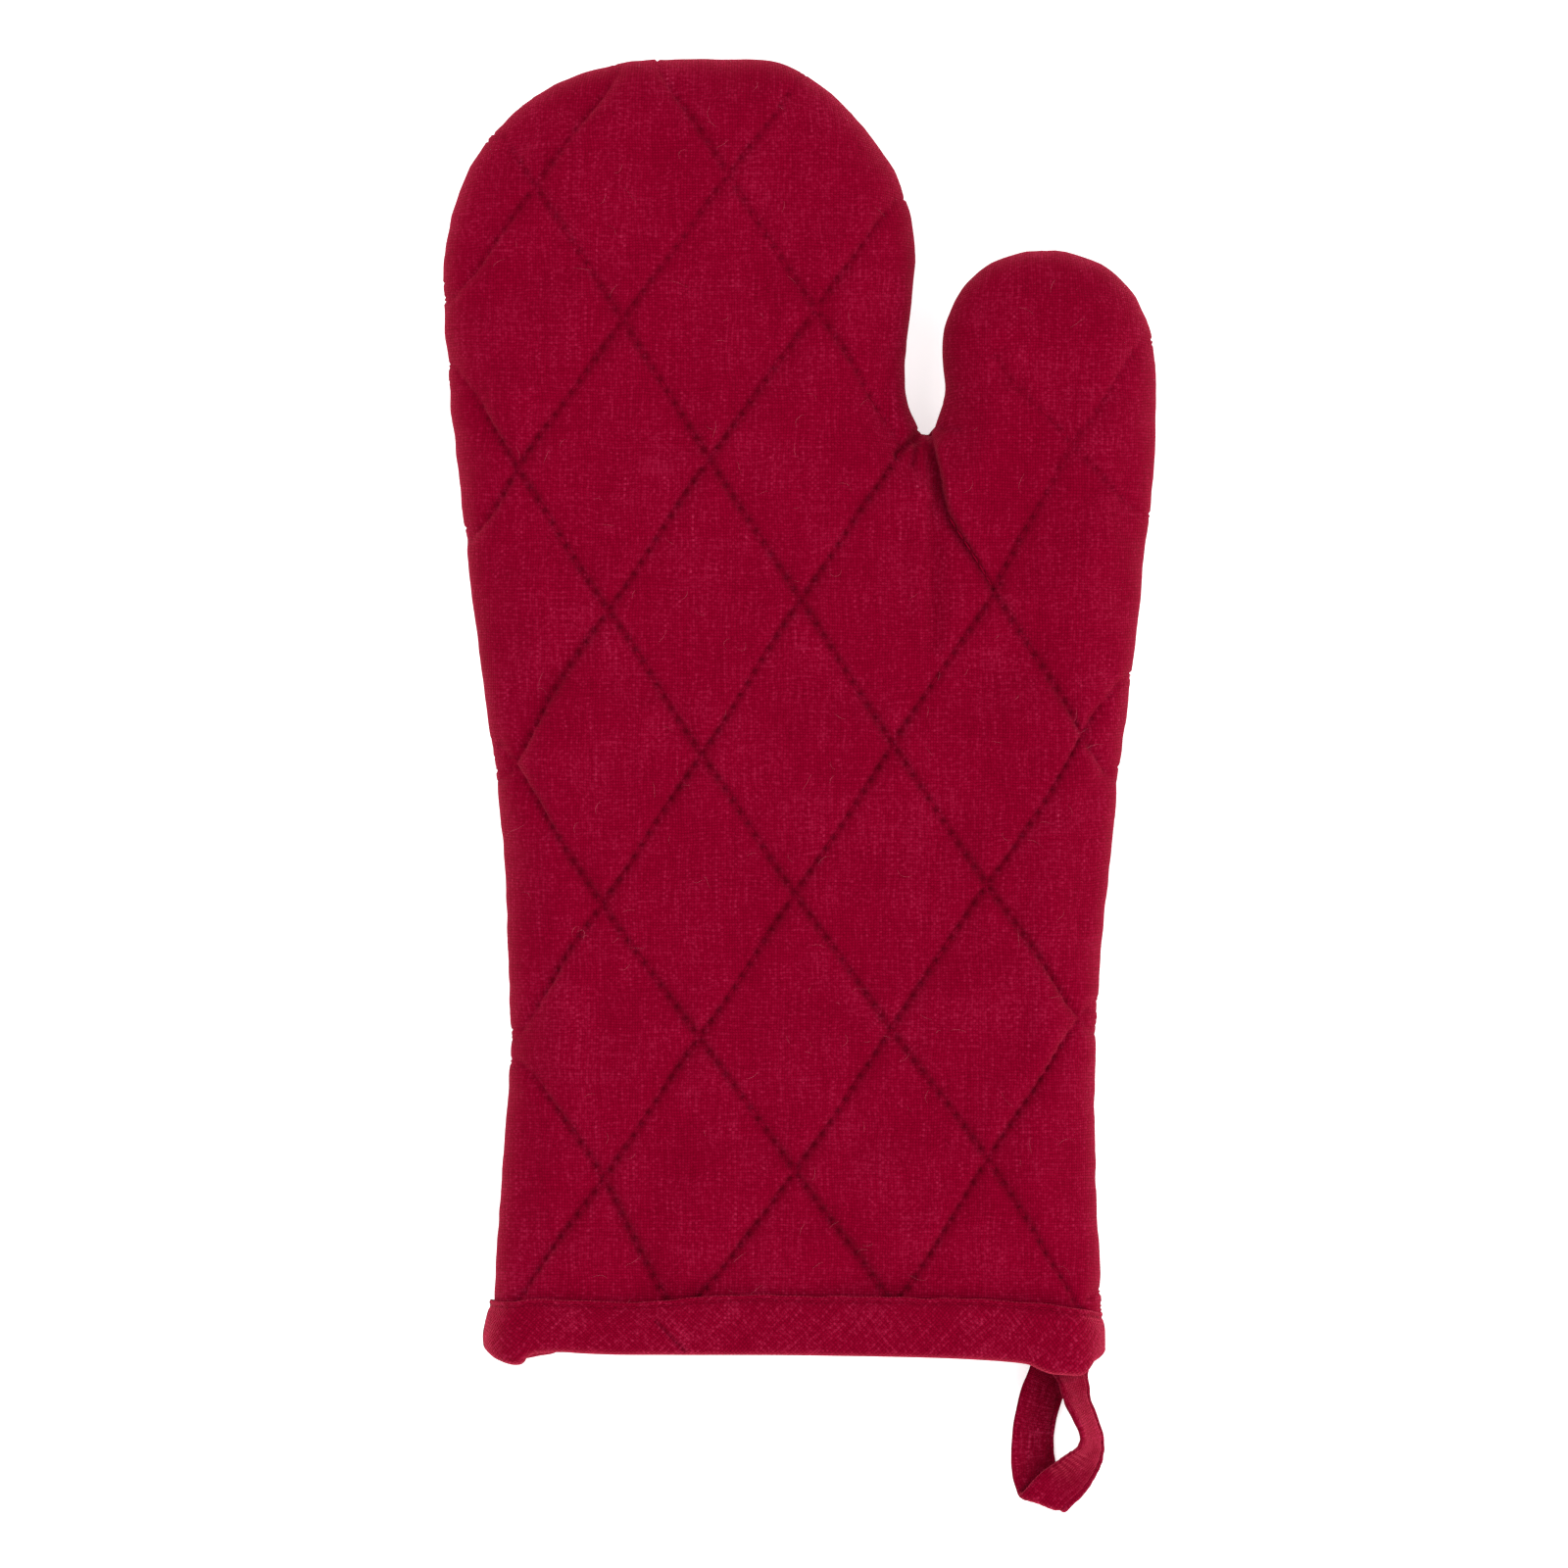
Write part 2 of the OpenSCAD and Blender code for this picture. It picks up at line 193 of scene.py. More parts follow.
def lay_uv(made, uv):
    """The cloth's own coordinates in metres, one pair for each vertex."""
    mesh = made.data
    corner = np.zeros(len(mesh.loops), np.int32)
    mesh.loops.foreach_get("vertex_index", corner)
    layer = mesh.uv_layers.new(name="cloth")
    layer.data.foreach_set("uv", (np.asarray(uv)[corner] * MM).astype(np.float32).ravel())


def note(made, name, values):
    made.data.attributes.new(name, "FLOAT", "POINT").data.foreach_set(
        "value", np.asarray(values, np.float32))


# ---------------------------------------------------------------- outline, from the CAD shell
def seam_outline():
    """The seam line seen from above: left cuff corner, fingers, crotch, thumb, right cuff corner."""
    cut = bmesh.new()
    cut.from_mesh(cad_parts["back_shell"].data)
    bmesh.ops.remove_doubles(cut, verts=cut.verts, dist=1e-6)
    level = bmesh.ops.bisect_plane(
        cut, geom=cut.verts[:] + cut.edges[:] + cut.faces[:],
        plane_co=(0, 0, (SEAM_Z + 0.5) * MM), plane_no=(0, 0, 1))["geom_cut"]
    joined = {}
    for e in level:
        if isinstance(e, bmesh.types.BMEdge):
            p, q = e.verts
            joined.setdefault(p, []).append(q)
            joined.setdefault(q, []).append(p)
    loops = []
    left = set(joined)
    while left:
        start = min(left, key=lambda v: v.co.to_tuple(5))
        walk, before, now = [start], None, start
        while True:
            ahead = [v for v in joined[now] if v is not before and v in left]
            left.discard(now)
            if not ahead or ahead[0] is start:
                break
            before, now = now, ahead[0]
            walk.append(now)
        loops.append(walk)
    ring = np.array([v.co[:2] for v in max(loops, key=len)]) / MM
    cut.free()
    mouth = [i for i in range(len(ring)) if ring[i, 1] < MOUTH_Y + 0.3]
    first = min(mouth, key=lambda i: ring[i, 0])
    last = max(mouth, key=lambda i: ring[i, 0])
    ring = np.roll(ring, -first, axis=0)
    last = (last - first) % len(ring)
    one, other = ring[:last + 1], np.vstack([ring[last:], ring[:1]])[::-1]
    span = [np.linalg.norm(np.diff(w, axis=0), axis=1).sum() for w in (one, other)]
    path = one if span[0] > span[1] else other
    kept = [path[0]]
    for p, q, r in zip(path, path[1:], path[2:]):
        bend = abs((q[0] - p[0]) * (r[1] - p[1]) - (q[1] - p[1]) * (r[0] - p[0]))
        if bend / max(np.linalg.norm(r - p), 1e-6) > 0.04:
            kept.append(q)
    return np.array(kept + [path[-1]])


# The seam line, the same run on below the mouth, its outward side and its length so far
EDGE = spline(seam_outline(), 1.0)
BELOW = np.array([0, -30.0])
EDGE_LONG = np.vstack([EDGE[0] + BELOW, EDGE, EDGE[-1] + BELOW])
EDGE_OUT = leftward(headings(EDGE_LONG))
EDGE_AT = travelled(EDGE_LONG)


def lay(spots, side, inset=0.0):
    """Places plan spots on the padded outer face of a panel, or inset of its wall below it.
    Returns the points, the outward normals, the depth inside the seam line, the length of cloth
    from the seam, and the cloth's own coordinates."""
    depth, foot, along, _ = nearest(spots, EDGE_LONG)
    hand = smooth(CUFF_START, CUFF_END, spots[:, 1] - MOUTH_Y)
    rim = CUFF_RIM + (RIM - CUFF_RIM) * hand
    rise = RISE[side] - CUFF_INSET * (1 - hand)
    turn = np.arccos(np.clip(1 - depth / rim, 0, 1))
    at_edge = np.stack([np.interp(along, EDGE_AT, EDGE_OUT[:, k]) for k in (0, 1)], axis=1)
    away = smooth(0.2, 1.0, depth)[:, None]
    out = unit(at_edge * (1 - away) + (foot - spots) / np.maximum(depth, 0.1)[:, None] * away)
    n = unit(np.stack([rise * np.cos(turn), rim * np.sin(turn)], axis=1))
    normal = np.column_stack([out * n[:, :1], side * n[:, 1]])
    points = np.column_stack([spots, SEAM_Z + side * rise * np.sin(turn)])
    if inset:
        thick = CUFF_WALL + (WALL - CUFF_WALL) * hand
        points = points - normal * (thick * inset)[:, None]
    half = (rim + rise) / 2
    cloth = spots + out * ((math.pi / 2 - turn) * half - np.maximum(rim - depth, 0))[:, None]
    return points, normal, depth, turn * half, cloth


# ---------------------------------------------------------------- quilting lines
def from_pattern(points):
    """Pattern places, X from the middle of the cuff and Y from its lower edge, in the row frame."""
    return np.asarray(points, float) + [CUFF_X, CUFF_Y]


CREASE = spline(from_pattern([(33.2, 235.5), (34.3, 230), (35.5, 225.1), (36.6, 219.8),
                              (38.1, 214.6), (43.3, 206.3), (49.5, 196)]), 0.6)
CREASE_LENGTH = np.linalg.norm(np.diff(CREASE, axis=0), axis=1).sum()
FOLDS = [  # start, end, depth, width: small folds round the crotch, minus for a ridge
    ((30.2, 235.2), (25.7, 231.3), 1.3, 1.0), ((30.6, 234.2), (29.3, 227.2), 1.3, 0.9),
    ((35.3, 237.3), (40.3, 236.9), 0.7, 0.9), ((38.7, 243), (45.6, 245.7), 0.5, 1.6),
    ((34.7, 222), (34.3, 182), 2.0, 2.0), ((31.2, 221), (31.0, 186), -1.4, 2.3),
    ((39.6, 226), (43.5, 214), -0.5, 2.6), ((-74, 150), (-66, 141), 0.4, 2.0),
    ((79, 150), (71, 138), 0.45, 2.2), ((10, 250), (17, 240), 0.35, 2.6),
]
# The lattice: each row of crossings at the middle of the mitt, how much a row climbs for each
# half diamond towards the thumb, and how far the columns lean over at a height
ROWS = [-26, 9.5, 48.9, 83.4, 118.7, 155.3, 193.3, 230.2, 266.6, 302, 338]
ROW_CLIMB = 1.2
DIAMOND_HALF = 24.4
LEAN_Y, LEAN_X = [9.5, 118.7, 160, 193, 229, 266, 301, 338], [-0.6, -0.9, -0.2, 0.6, 1.8, 4.2, 6.6, 9]
GATHERED = {  # crossings that the seam at the crotch and the binding pull out of place
    (1, 7): (27.6, 233), (-1, 1): (-29.4, 9.5), (1, 1): (23.9, 13.5), (-3, 1): (-75.2, 9.8)}
THUMB_LINES = [spline(from_pattern(line), 1.0) for line in (
    [(49.4, 196), (56.9, 210), (63.6, 222), (69.3, 232.6), (76.4, 242.5), (90, 264)],
    [(49.5, 255), (54.4, 248.6), (65.1, 237.9), (69.3, 232.6), (86, 216.5), (90, 213)])]


def inside(spots, margin=0.0):
    """Which spots lie inside the seam line and above the mouth."""
    depth, foot, _, _ = nearest(spots, EDGE_LONG)
    ring = np.vstack([EDGE_LONG, EDGE_LONG[:1]])
    x, y = spots[:, 0], spots[:, 1]
    odd = np.zeros(len(spots), bool)
    for (ax, ay), (bx, by) in zip(ring, ring[1:]):
        if ay != by:
            odd ^= ((ay > y) != (by > y)) & (x < (bx - ax) * (y - ay) / (by - ay) + ax)
    return odd & (depth > margin) & (y > MOUTH_Y)


def lattice_node(i, j):
    """Where two quilting lines cross: i half diamonds across and j up from the cuff's middle."""
    if (i, j) in GATHERED:
        return GATHERED[i, j]
    y = ROWS[j] + ROW_CLIMB * i
    return DIAMOND_HALF * i + np.interp(y, LEAN_Y, LEAN_X), y


def quilting():
    """Each run of quilting, as a path that wanders a little the way a sewn line does."""
    lines = []
    for slant in (-1, 1):
        for k in range(-14, 15):
            nodes = [lattice_node(slant * j + k, j) for j in range(len(ROWS))
                     if (k + slant * j + j) % 2 == 0 and abs(slant * j + k) < 7]
            if len(nodes) > 2:
                lines.append((slant, spline(from_pattern(nodes), 1.0)))
    runs = []
    for n, (slant, line) in enumerate(lines):
        t = np.arange(len(line))
        wander = waves(t, 0 * t, 60, 40 + n) * 0.35
        line = line + leftward(headings(line)) * wander[:, None]
        ok = inside(line, 0.3)
        x, y = (line - from_pattern([(0, 0)])).T
        ok &= ~((x > 31) & (y > 198))       # the thumb has its own lines
        if slant < 0:                       # the crease at the crotch takes this one's place
            ok &= ~((x > 21.5) & (x < 49) & (y > 197) & (y < 233.5))
        cut = np.flatnonzero(np.diff(np.concatenate([[0], ok.astype(int), [0]])))
        runs += [line[i:j] for i, j in zip(cut[::2], cut[1::2]) if j - i > 12]
    return runs + [line[inside(line, 0.3)] for line in THUMB_LINES]


RUNS = quilting()


def quilt_distance(spots):
    """Distance to the nearest quilting line and how far along it that is."""
    best, along = np.full(len(spots), 99.0), np.zeros(len(spots))
    for run in RUNS:
        low, high = run.min(0) - 12, run.max(0) + 12
        near = np.flatnonzero(((spots > low) & (spots < high)).all(1))
        if len(near):
            d, _, s, _ = nearest(spots[near], run[::3] if len(run) > 30 else run)
            closer = d < best[near]
            best[near[closer]] = d[closer]
            along[near[closer]] = s[closer]
    return best, along


# ---------------------------------------------------------------- panel meshes
def offsets(path, distances, step):
    """Rows of points on both sides of a path."""
    path = resample(path, step)
    left = leftward(headings(path))
    return np.vstack([path + left * s for s in distances])


def grid_points(spacing):
    low, high = EDGE.min(0), EDGE.max(0)
    rows = int((high[1] - low[1]) / (spacing * 0.866)) + 2
    made = []
    for j in range(rows):
        x = np.arange(low[0], high[0], spacing) + (j % 2) * spacing / 2
        made.append(np.column_stack([x, np.full(len(x), low[1] + j * spacing * 0.866)]))
    return np.vstack(made)


def boundary(step):
    """The panel's edge: the seam line, then the mouth from right to left."""
    seam = resample(EDGE, step)
    mouth = resample(np.array([EDGE[-1], EDGE[0]]), step)[1:-1]
    return np.vstack([seam, mouth])


def thin(layer, kept, room):
    """The points of a layer that keep their distance from each other and from those kept."""
    cells, made = {}, []
    for p in kept.tolist():
        cells.setdefault((int(p[0] // room), int(p[1] // room)), []).append(p)
    for p in layer.tolist():
        i, j = int(p[0] // room), int(p[1] // room)
        if any((p[0] - q[0]) ** 2 + (p[1] - q[1]) ** 2 < room * room
               for a in (i - 1, i, i + 1) for b in (j - 1, j, j + 1) for q in cells.get((a, b), ())):
            continue
        cells.setdefault((i, j), []).append(p)
        made.append(p)
    return np.array(made).reshape(-1, 2)


def net(edge, spacing, rim_rows, line_step, line_rows, crease_rows):
    """Triangles over the plan of a panel, with rows along the rim and the quilting lines."""
    lines = [offsets(CREASE, crease_rows, line_step)]
    lines += [offsets(run, line_rows, line_step) for run in RUNS]
    seam = resample(EDGE, max(line_step * 1.5, 1.2))
    inward = -leftward(headings(seam))
    rim = np.vstack([seam + inward * r for r in rim_rows])
    kept = np.zeros((0, 2))
    for layer, room in ((rim, 0.4 * line_step), (np.vstack(lines), 0.42 * line_step),
                        (grid_points(spacing), 0.62 * spacing)):
        layer = layer[inside(layer, 0.1)]
        layer = layer[layer[:, 1] > MOUTH_Y + 0.5]
        kept = np.vstack([kept, thin(layer, kept, room)])
    points = [Vector(p) for p in np.vstack([edge, kept]).tolist()]
    flat, _, faces, source, _, _ = delaunay_2d_cdt(
        points, [], [list(range(len(edge)))[::-1]], 0, 1e-7, True)
    place = {c: i for i, came in enumerate(source) for c in came}
    flat, faces = np.array([v[:2] for v in flat]), np.array([tuple(f) for f in faces])
    faces = faces[inside(flat[faces].mean(1))]
    return flat, faces, [place[i] for i in range(len(edge))]


# ---------------------------------------------------------------- padding, by cloth simulation
def rim_depths(turns):
    return [RIM * (1 - math.cos(math.radians(t))) for t in turns]


COARSE = net(boundary(3.0), 3.2, rim_depths(range(12, 85, 12)), 3.2, [0.0], [0.0])


def swell():
    """How far each coarse point of the two panels puffs out, in millimetres along its normal.
    The cloth is held at the seam, the mouth and every quilting line and is blown up between."""
    plan, faces, order = COARSE
    laid = [lay(plan, side) for side in (BACK, PALM)]
    count = len(plan)
    pillow = piece("pillow", np.vstack([laid[0][0], laid[1][0]]),
                   np.vstack([faces, faces[:, ::-1] + count]))
    line, _ = quilt_distance(plan)
    held = pillow.vertex_groups.new(name="held")
    pinned = set(order) | set(np.flatnonzero(line < 0.6).tolist())
    held.add([i for i in pinned] + [i + count for i in pinned], 1.0, "REPLACE")
    cloth = pillow.modifiers.new("Cloth", "CLOTH")
    settings = cloth.settings
    settings.quality = 5
    settings.mass = 0.15
    settings.tension_stiffness = settings.compression_stiffness = 8
    settings.shear_stiffness = 3
    settings.bending_stiffness = 0.15
    settings.shrink_min = -0.02
    settings.vertex_group_mass = "held"
    settings.use_pressure = True
    settings.uniform_pressure_force = 4
    settings.effector_weights.gravity = 0
    cloth.collision_settings.use_collision = False
    cloth.point_cache.frame_start, cloth.point_cache.frame_end = 1, 20
    for f in range(1, 21):
        bpy.context.scene.frame_set(f)
    blown = pillow.evaluated_get(bpy.context.evaluated_depsgraph_get()).data
    co = np.zeros(len(blown.vertices) * 3)
    blown.vertices.foreach_get("co", co)
    co = co.reshape(-1, 3) / MM
    bpy.context.scene.frame_set(1)
    bpy.data.objects.remove(pillow)
    made = {}
    for k, side in enumerate((BACK, PALM)):
        points, normal = laid[k][:2]
        puff = ((co[k * count:(k + 1) * count] - points) * normal).sum(1)
        made[side] = np.clip(puff * PUFF / max(np.percentile(puff, 90), 1e-6), -0.6, 1.5 * PUFF)
    return made


def carry(values, spots):
    """Values on the coarse net, read at other plan spots."""
    plan, faces, _ = COARSE
    tree = BVHTree.FromPolygons(np.column_stack([plan, 0 * plan[:, 0]]).tolist(), faces.tolist())
    hit = np.array([tree.find_nearest((x, y, 0))[2] for x, y in spots.tolist()])
    a, b, c = (plan[faces[hit, k]] for k in range(3))
    area = (b[:, 0] - a[:, 0]) * (c[:, 1] - a[:, 1]) - (b[:, 1] - a[:, 1]) * (c[:, 0] - a[:, 0])
    p = spots
    u = ((b[:, 0] - p[:, 0]) * (c[:, 1] - p[:, 1]) - (b[:, 1] - p[:, 1]) * (c[:, 0] - p[:, 0])) / area
    v = ((c[:, 0] - p[:, 0]) * (a[:, 1] - p[:, 1]) - (c[:, 1] - p[:, 1]) * (a[:, 0] - p[:, 0])) / area
    u, v = np.clip(u, 0, 1), np.clip(v, 0, 1)
    w = np.clip(1 - u - v, 0, 1)
    return u * values[faces[hit, 0]] + v * values[faces[hit, 1]] + w * values[faces[hit, 2]]


def even(values, faces, rounds):
    """Values averaged with their neighbours over a net, so no coarse triangle shows."""
    pairs = np.vstack([faces[:, [0, 1]], faces[:, [1, 2]], faces[:, [2, 0]]])
    pairs = np.vstack([pairs, pairs[:, ::-1]])
    near = np.bincount(pairs[:, 0], minlength=len(values))
    for _ in range(rounds):
        total = np.bincount(pairs[:, 0], weights=values[pairs[:, 1]], minlength=len(values))
        values = values * 0.4 + total / np.maximum(near, 1) * 0.6
    return values


PUFFED = swell()


def relief(spots, side, depth, arc, puff):
    """How far the cloth stands off the plain padded face, and how much painted shade darkens it along its
    quilting lines, stitch holes, crease and folds.
    """
    line, along = quilt_distance(spots)
    x, y = (spots - from_pattern([(0, 0)])).T
    on_thumb = smooth(200, 232, y) * smooth(33, 48, x)
    hold = (0.42 + 0.58 * smooth(0, 13, depth)) * (1 - 0.5 * on_thumb) * (1 - 0.3 * smooth(225, 275, y))
    hole = 0.5 + 0.5 * np.cos(along * 2 * math.pi / STITCH)
    slot = bell(line, SLOT_REACH) * (0.65 + 0.55 * hole)
    off = puff * (0.2 + 0.8 * smooth(13, 34, y)) - PUFF_DROP * smooth(0, 8, depth)
    off -= (GROOVE * np.exp(-line / GROOVE_REACH) + SLOT * slot * smooth(0.3, 5, depth)) * hold
    pucker = np.sin(along * 2 * math.pi / STITCH + 1.3 * np.sin(along * 0.9))
    off += 0.08 * pucker * bell(line - 1.7, 1.3) * hold
    off += 0.34 * waves(spots[:, 0], spots[:, 1], 75, 3 + side) * smooth(2, 16, depth)
    off += 0.16 * waves(spots[:, 0], spots[:, 1], 24, 9 + side) * smooth(1, 8, depth)
    off += 0.06 * waves(spots[:, 0], spots[:, 1], 8, 6 + side)
    off += RIM_PUFF * bell(arc - 3, 3.2) - SEAM_PULL * bell(arc, 1.2)
    # painted shade along each quilting line, darkest at the stitch holes
    dark = bell(line, 0.75) * (0.30 + 0.90 * hole ** 3) * hold
    if side == BACK:
        d, _, s, hand = nearest(spots, CREASE)
        t = s / CREASE_LENGTH
        near = smooth(0, 0.10, t) * (1 - smooth(0.45, 1.0, t))
        left = hand < 0
        valley = np.where(left, 2.3 * bell(d, 2.4), 2.3 * bell(d, 0.7))
        off += near * (np.where(left, 0, 1.5) * bell(d - 2.2, 1.7) - valley)
        off -= 1.0 * bell(d, 0.6) * (1 - near)
        # painted shade in the crease at the crotch, wider on its left side
        dark = np.maximum(dark, np.where(left, bell(d, 1.5), bell(d, 0.5)) * (0.6 + 1.1 * near))
        for start, end, deep, wide in FOLDS:
            d, _, s, _ = nearest(spots, from_pattern([start, end]))
            off -= deep * bell(d, wide)
            # painted shade in the narrowest folds
            if 0 < wide < 1.2:
                dark = np.maximum(dark, deep * bell(d, wide * 0.7))
    return off, dark


def skin(spots, side, puff=0.0):
    """Points on a panel's finished outer face, with what else its mesh needs."""
    points, normal, depth, arc, cloth = lay(spots, side)
    off, dark = relief(spots, side, depth, arc, puff)
    points = points + normal * off[:, None]
    points[:, 2] = np.maximum(points[:, 2], 0.03)
    return points, normal, cloth, dark


def drawn_up(points, side):
    """Points of a panel, with its raw edge drawn up inside the fold of the binding."""
    foot = BACK_FOOT if side == BACK else PALM_FOOT
    rise = np.maximum(foot(points[:, 0]) + 0.9, 0)
    points[:, 1] += rise * (1 - smooth(0, 13, points[:, 1] - MOUTH_Y))
    return points


def panel(name, side, fine):
    """One padded panel: outer cloth, lining, and the edges that close it."""
    edge = boundary(1.2 if fine else 1.8)
    if fine:
        line_rows = [0, .4, -.4, .85, -.85, 1.5, -1.5, 2.4, -2.4, 3.6, -3.6]
        crease_rows = [0, .4, -.4, .8, -.8, 1.3, -1.3, 1.9, -1.9, 2.6, -2.6, 3.5, -3.5]
        outer = net(edge, 1.7, rim_depths((8, 15, 22, 30, 38, 46, 54, 62, 70, 78)), 0.75,
                    line_rows, crease_rows)
    else:
        outer = net(edge, 2.8, rim_depths((10, 20, 31, 42, 53, 64, 75)), 1.3,
                    [0, .8, -.8, 1.9, -1.9, 3.4, -3.4], [0.0])
    plan, faces, order = outer
    puff = even(carry(PUFFED[side], plan), faces, 12 if fine else 5)
    points, _, cloth, dark = skin(plan, side, puff)
    inner_plan, inner_faces, inner_order = net(edge, 4.5, rim_depths((15, 30, 45, 60, 75)), 2.4,
                                               [0, 1.2, -1.2], [0.0])
    deep, normal, depth, _, inner_cloth = lay(inner_plan, side, inset=1)
    line, _ = quilt_distance(inner_plan)
    deep += normal * (0.5 * bell(line, 1.3) * smooth(0, 6, depth))[:, None]
    points, deep = drawn_up(points, side), drawn_up(deep, side)
    n = len(points)
    strip = [(order[i], inner_order[i] + n, inner_order[i - 1] + n, order[i - 1])
             for i in range(len(order))]
    up, down = faces.tolist(), faces[:, ::-1].tolist()
    in_up, in_down = (inner_faces + n).tolist(), (inner_faces[:, ::-1] + n).tolist()
    if side == BACK:
        all_faces = up + in_down + strip
    else:
        all_faces = down + in_up + [q[::-1] for q in strip]
    made = piece(name, np.vstack([points, deep]), all_faces)
    lay_uv(made, np.vstack([cloth, inner_cloth]))
    # The crease attribute is painted shade: on the outer cloth from relief, on the lining along its
    # quilting lines.
    note(made, "crease", np.concatenate([dark, 0.6 * bell(line, 0.8)]))
    made.data.materials.append(SHELL)
    made.data.materials.append(LINING)
    index = np.zeros(len(all_faces), np.int32)
    index[len(up):] = 1
    made.data.polygons.foreach_set("material_index", index)
    return made


# ---------------------------------------------------------------- threads and other round work
def bars(name, ends, radius, sides=6, sag=0.12):
    """One mesh of short round-ended threads. ends is a row of (start, end, up) for each."""
    along = np.array([0.0, 0.10, 0.30, 0.70, 0.90, 1.0])
    wide = np.array([0.25, 0.80, 1.0, 1.0, 0.80, 0.25]) * radius
    angle = np.arange(sides) * 2 * math.pi / sides
    start, end, up = (np.array([e[k] for e in ends], float) for k in range(3))
    ahead = unit(end - start, 1e-6)
    across = unit(np.cross(ahead, up), 1e-6)
    lift = np.cross(across, ahead)
    verts = []
    for t, w in zip(along, wide):
        middle = start + (end - start) * t + lift * (sag * math.sin(math.pi * t))
        for a in angle:
            verts.append(middle + across * (w * math.cos(a)) + lift * (w * math.sin(a)))
    verts = np.stack(verts, axis=1)                     # thread, ring * side, xyz
    faces = [(r * sides + k, r * sides + (k + 1) % sides,
              (r + 1) * sides + (k + 1) % sides, (r + 1) * sides + k)
             for r in range(len(along) - 1) for k in range(sides)]
    faces += [tuple(range(sides))[::-1], tuple(range(len(along) * sides - sides, len(along) * sides))]
    per = len(along) * sides
    made = piece(name, verts.reshape(-1, 3), [tuple(i + k * per for i in f)
                                              for k in range(len(ends)) for f in faces])
    made.data.materials.append(THREAD)
    return made


def quilting_stitches(name, side, lining):
    """The stitches of every quilting line, on the outer cloth or on the lining."""
    ends = []
    for run in RUNS + ([CREASE[len(CREASE) // 2:]] if side == BACK else []):
        at = travelled(run)
        holes = np.arange(0, at[-1], STITCH)
        if len(holes) < 2:
            continue
        pairs = np.stack([holes[:-1] + 0.35, holes[1:] - 0.35], axis=1)
        spots = np.stack([np.interp(pairs, at, run[:, k]) for k in (0, 1)], axis=2)
        spots = spots[inside(spots[:, 0], 1.0) & inside(spots[:, 1], 1.0)]
        spots = spots[spots[:, :, 1].min(1) > MOUTH_Y + (14 if not lining else 13)]
        if not len(spots):
            continue
        flat = spots.reshape(-1, 2)
        if lining:
            points, normal, _, _, _ = lay(flat, side, inset=1)
            points, up = points + normal * 0.30, -normal
        else:
            points, up, _, _ = skin(flat, side)
            points = points + up * 0.10
        points, up = points.reshape(-1, 2, 3), up.reshape(-1, 2, 3)
        ends += [(p[0], p[1], u[0]) for p, u in zip(points, up)]
    return bars(name, ends, 0.24, sides=6 if side == BACK and not lining else 5)


def sweep(name, sections, closed, caps=True):
    """A skin over rows of points: sections[i] is the ring of points at station i."""
    count, around = len(sections), len(sections[0])
    faces = []
    for i in range(count if closed else count - 1):
        j = (i + 1) % count
        for k in range(around):
            m = (k + 1) % around
            faces.append((i * around + k, j * around + k, j * around + m, i * around + m))
    if caps and not closed:
        faces += [tuple(range(around))[::-1],
                  tuple(range((count - 1) * around, count * around))]
    return piece(name, np.asarray(sections).reshape(-1, 3), faces)


# ---------------------------------------------------------------- binding round the mouth
def through(points):
    """A smooth function of X through pattern places, giving a height above the cuff's edge."""
    curve = spline(points, 0.5)
    return lambda x: np.interp(x - CUFF_X, curve[:, 0], curve[:, 1])


# The upper edge of the tape on the outside, and its lower edge on the back and on the palm
TAPE_TOP = through([(-80, 14.9), (-64, 15.8), (-41, 15.2), (-33, 15.6), (-25.5, 16.4), (-17.7, 16.8),
                    (-3.7, 17), (8.7, 16.5), (45, 16), (66, 14.2), (77, 12.1), (80, 11.7)])
BACK_FOOT = through([(-80.5, 4.8), (-79, 2.0), (-76, -0.3), (-73.1, -1.1), (-70.4, -0.6),
                     (-68.2, 1.4), (-65, 2.0), (-60.1, 2.2), (-55, 1.9), (-48, 1.6), (-30, 1.5),
                     (0, 1.4), (41, 0.5), (57, -0.7), (59, -1.2), (60.6, -2.0), (63.6, -3.2),
                     (68.1, -3.6), (72.8, -3.6), (73.9, -2.3), (74.8, -1.0), (76.8, 0.2),
                     (77.8, 2.2), (79, 4.8)])
PALM_FOOT = through([(-80.5, 4.8), (-79, 2.2), (-76, 0), (-72, -0.4), (-69, -0.2), (-66, 0.4),
                     (-62.5, 1.0), (-60, 2.2), (-55, 2.7), (-48, 2.5), (-30, 2.3), (0, 2.2),
                     (41, 1.3), (59, 0.2), (73.5, -0.6), (77.2, 1.2), (79, 4.8)])
TAPE_INSIDE = 13.0       # height of the tape inside the mouth
FOLD_ROUND = 1.1         # how far the tape's fold rounds off below its foot line
JOIN = from_pattern([(-36.2, 10.6), (-27.4, 1.4)])


def mouth_ring(step):
    """Points round the mouth on the panels' outer faces, their normals, from the left seam over
    the back to the right seam and back under the palm."""
    made = []
    for side in (BACK, PALM):
        left, right = EDGE[0][0], EDGE[-1][0]
        turn = np.radians(np.linspace(0, 90, 30))
        rim = CUFF_RIM * (1 - np.cos(turn))
        x = np.concatenate([left + rim, np.linspace(left + CUFF_RIM, right - CUFF_RIM, 300)[1:-1],
                            (right - rim)[::-1]])
        x[0], x[-1] = left + 0.01, right - 0.01
        points, normal, *_ = lay(np.column_stack([x, np.full(len(x), MOUTH_Y + 1.0)]), side)
        rows = np.hstack([points[:, [0, 2]], normal[:, [0, 2]]])
        made.append(rows if side == BACK else rows[::-1])
    ring = np.vstack([made[0], made[1][1:]])
    length = travelled(ring[:, :2])
    at = np.linspace(0, length[-1], int(length[-1] / step), endpoint=False)
    ring = np.stack([np.interp(at, length, ring[:, k]) for k in range(4)], axis=1)
    ring[:, 2:] = unit(ring[:, 2:])
    return ring, at


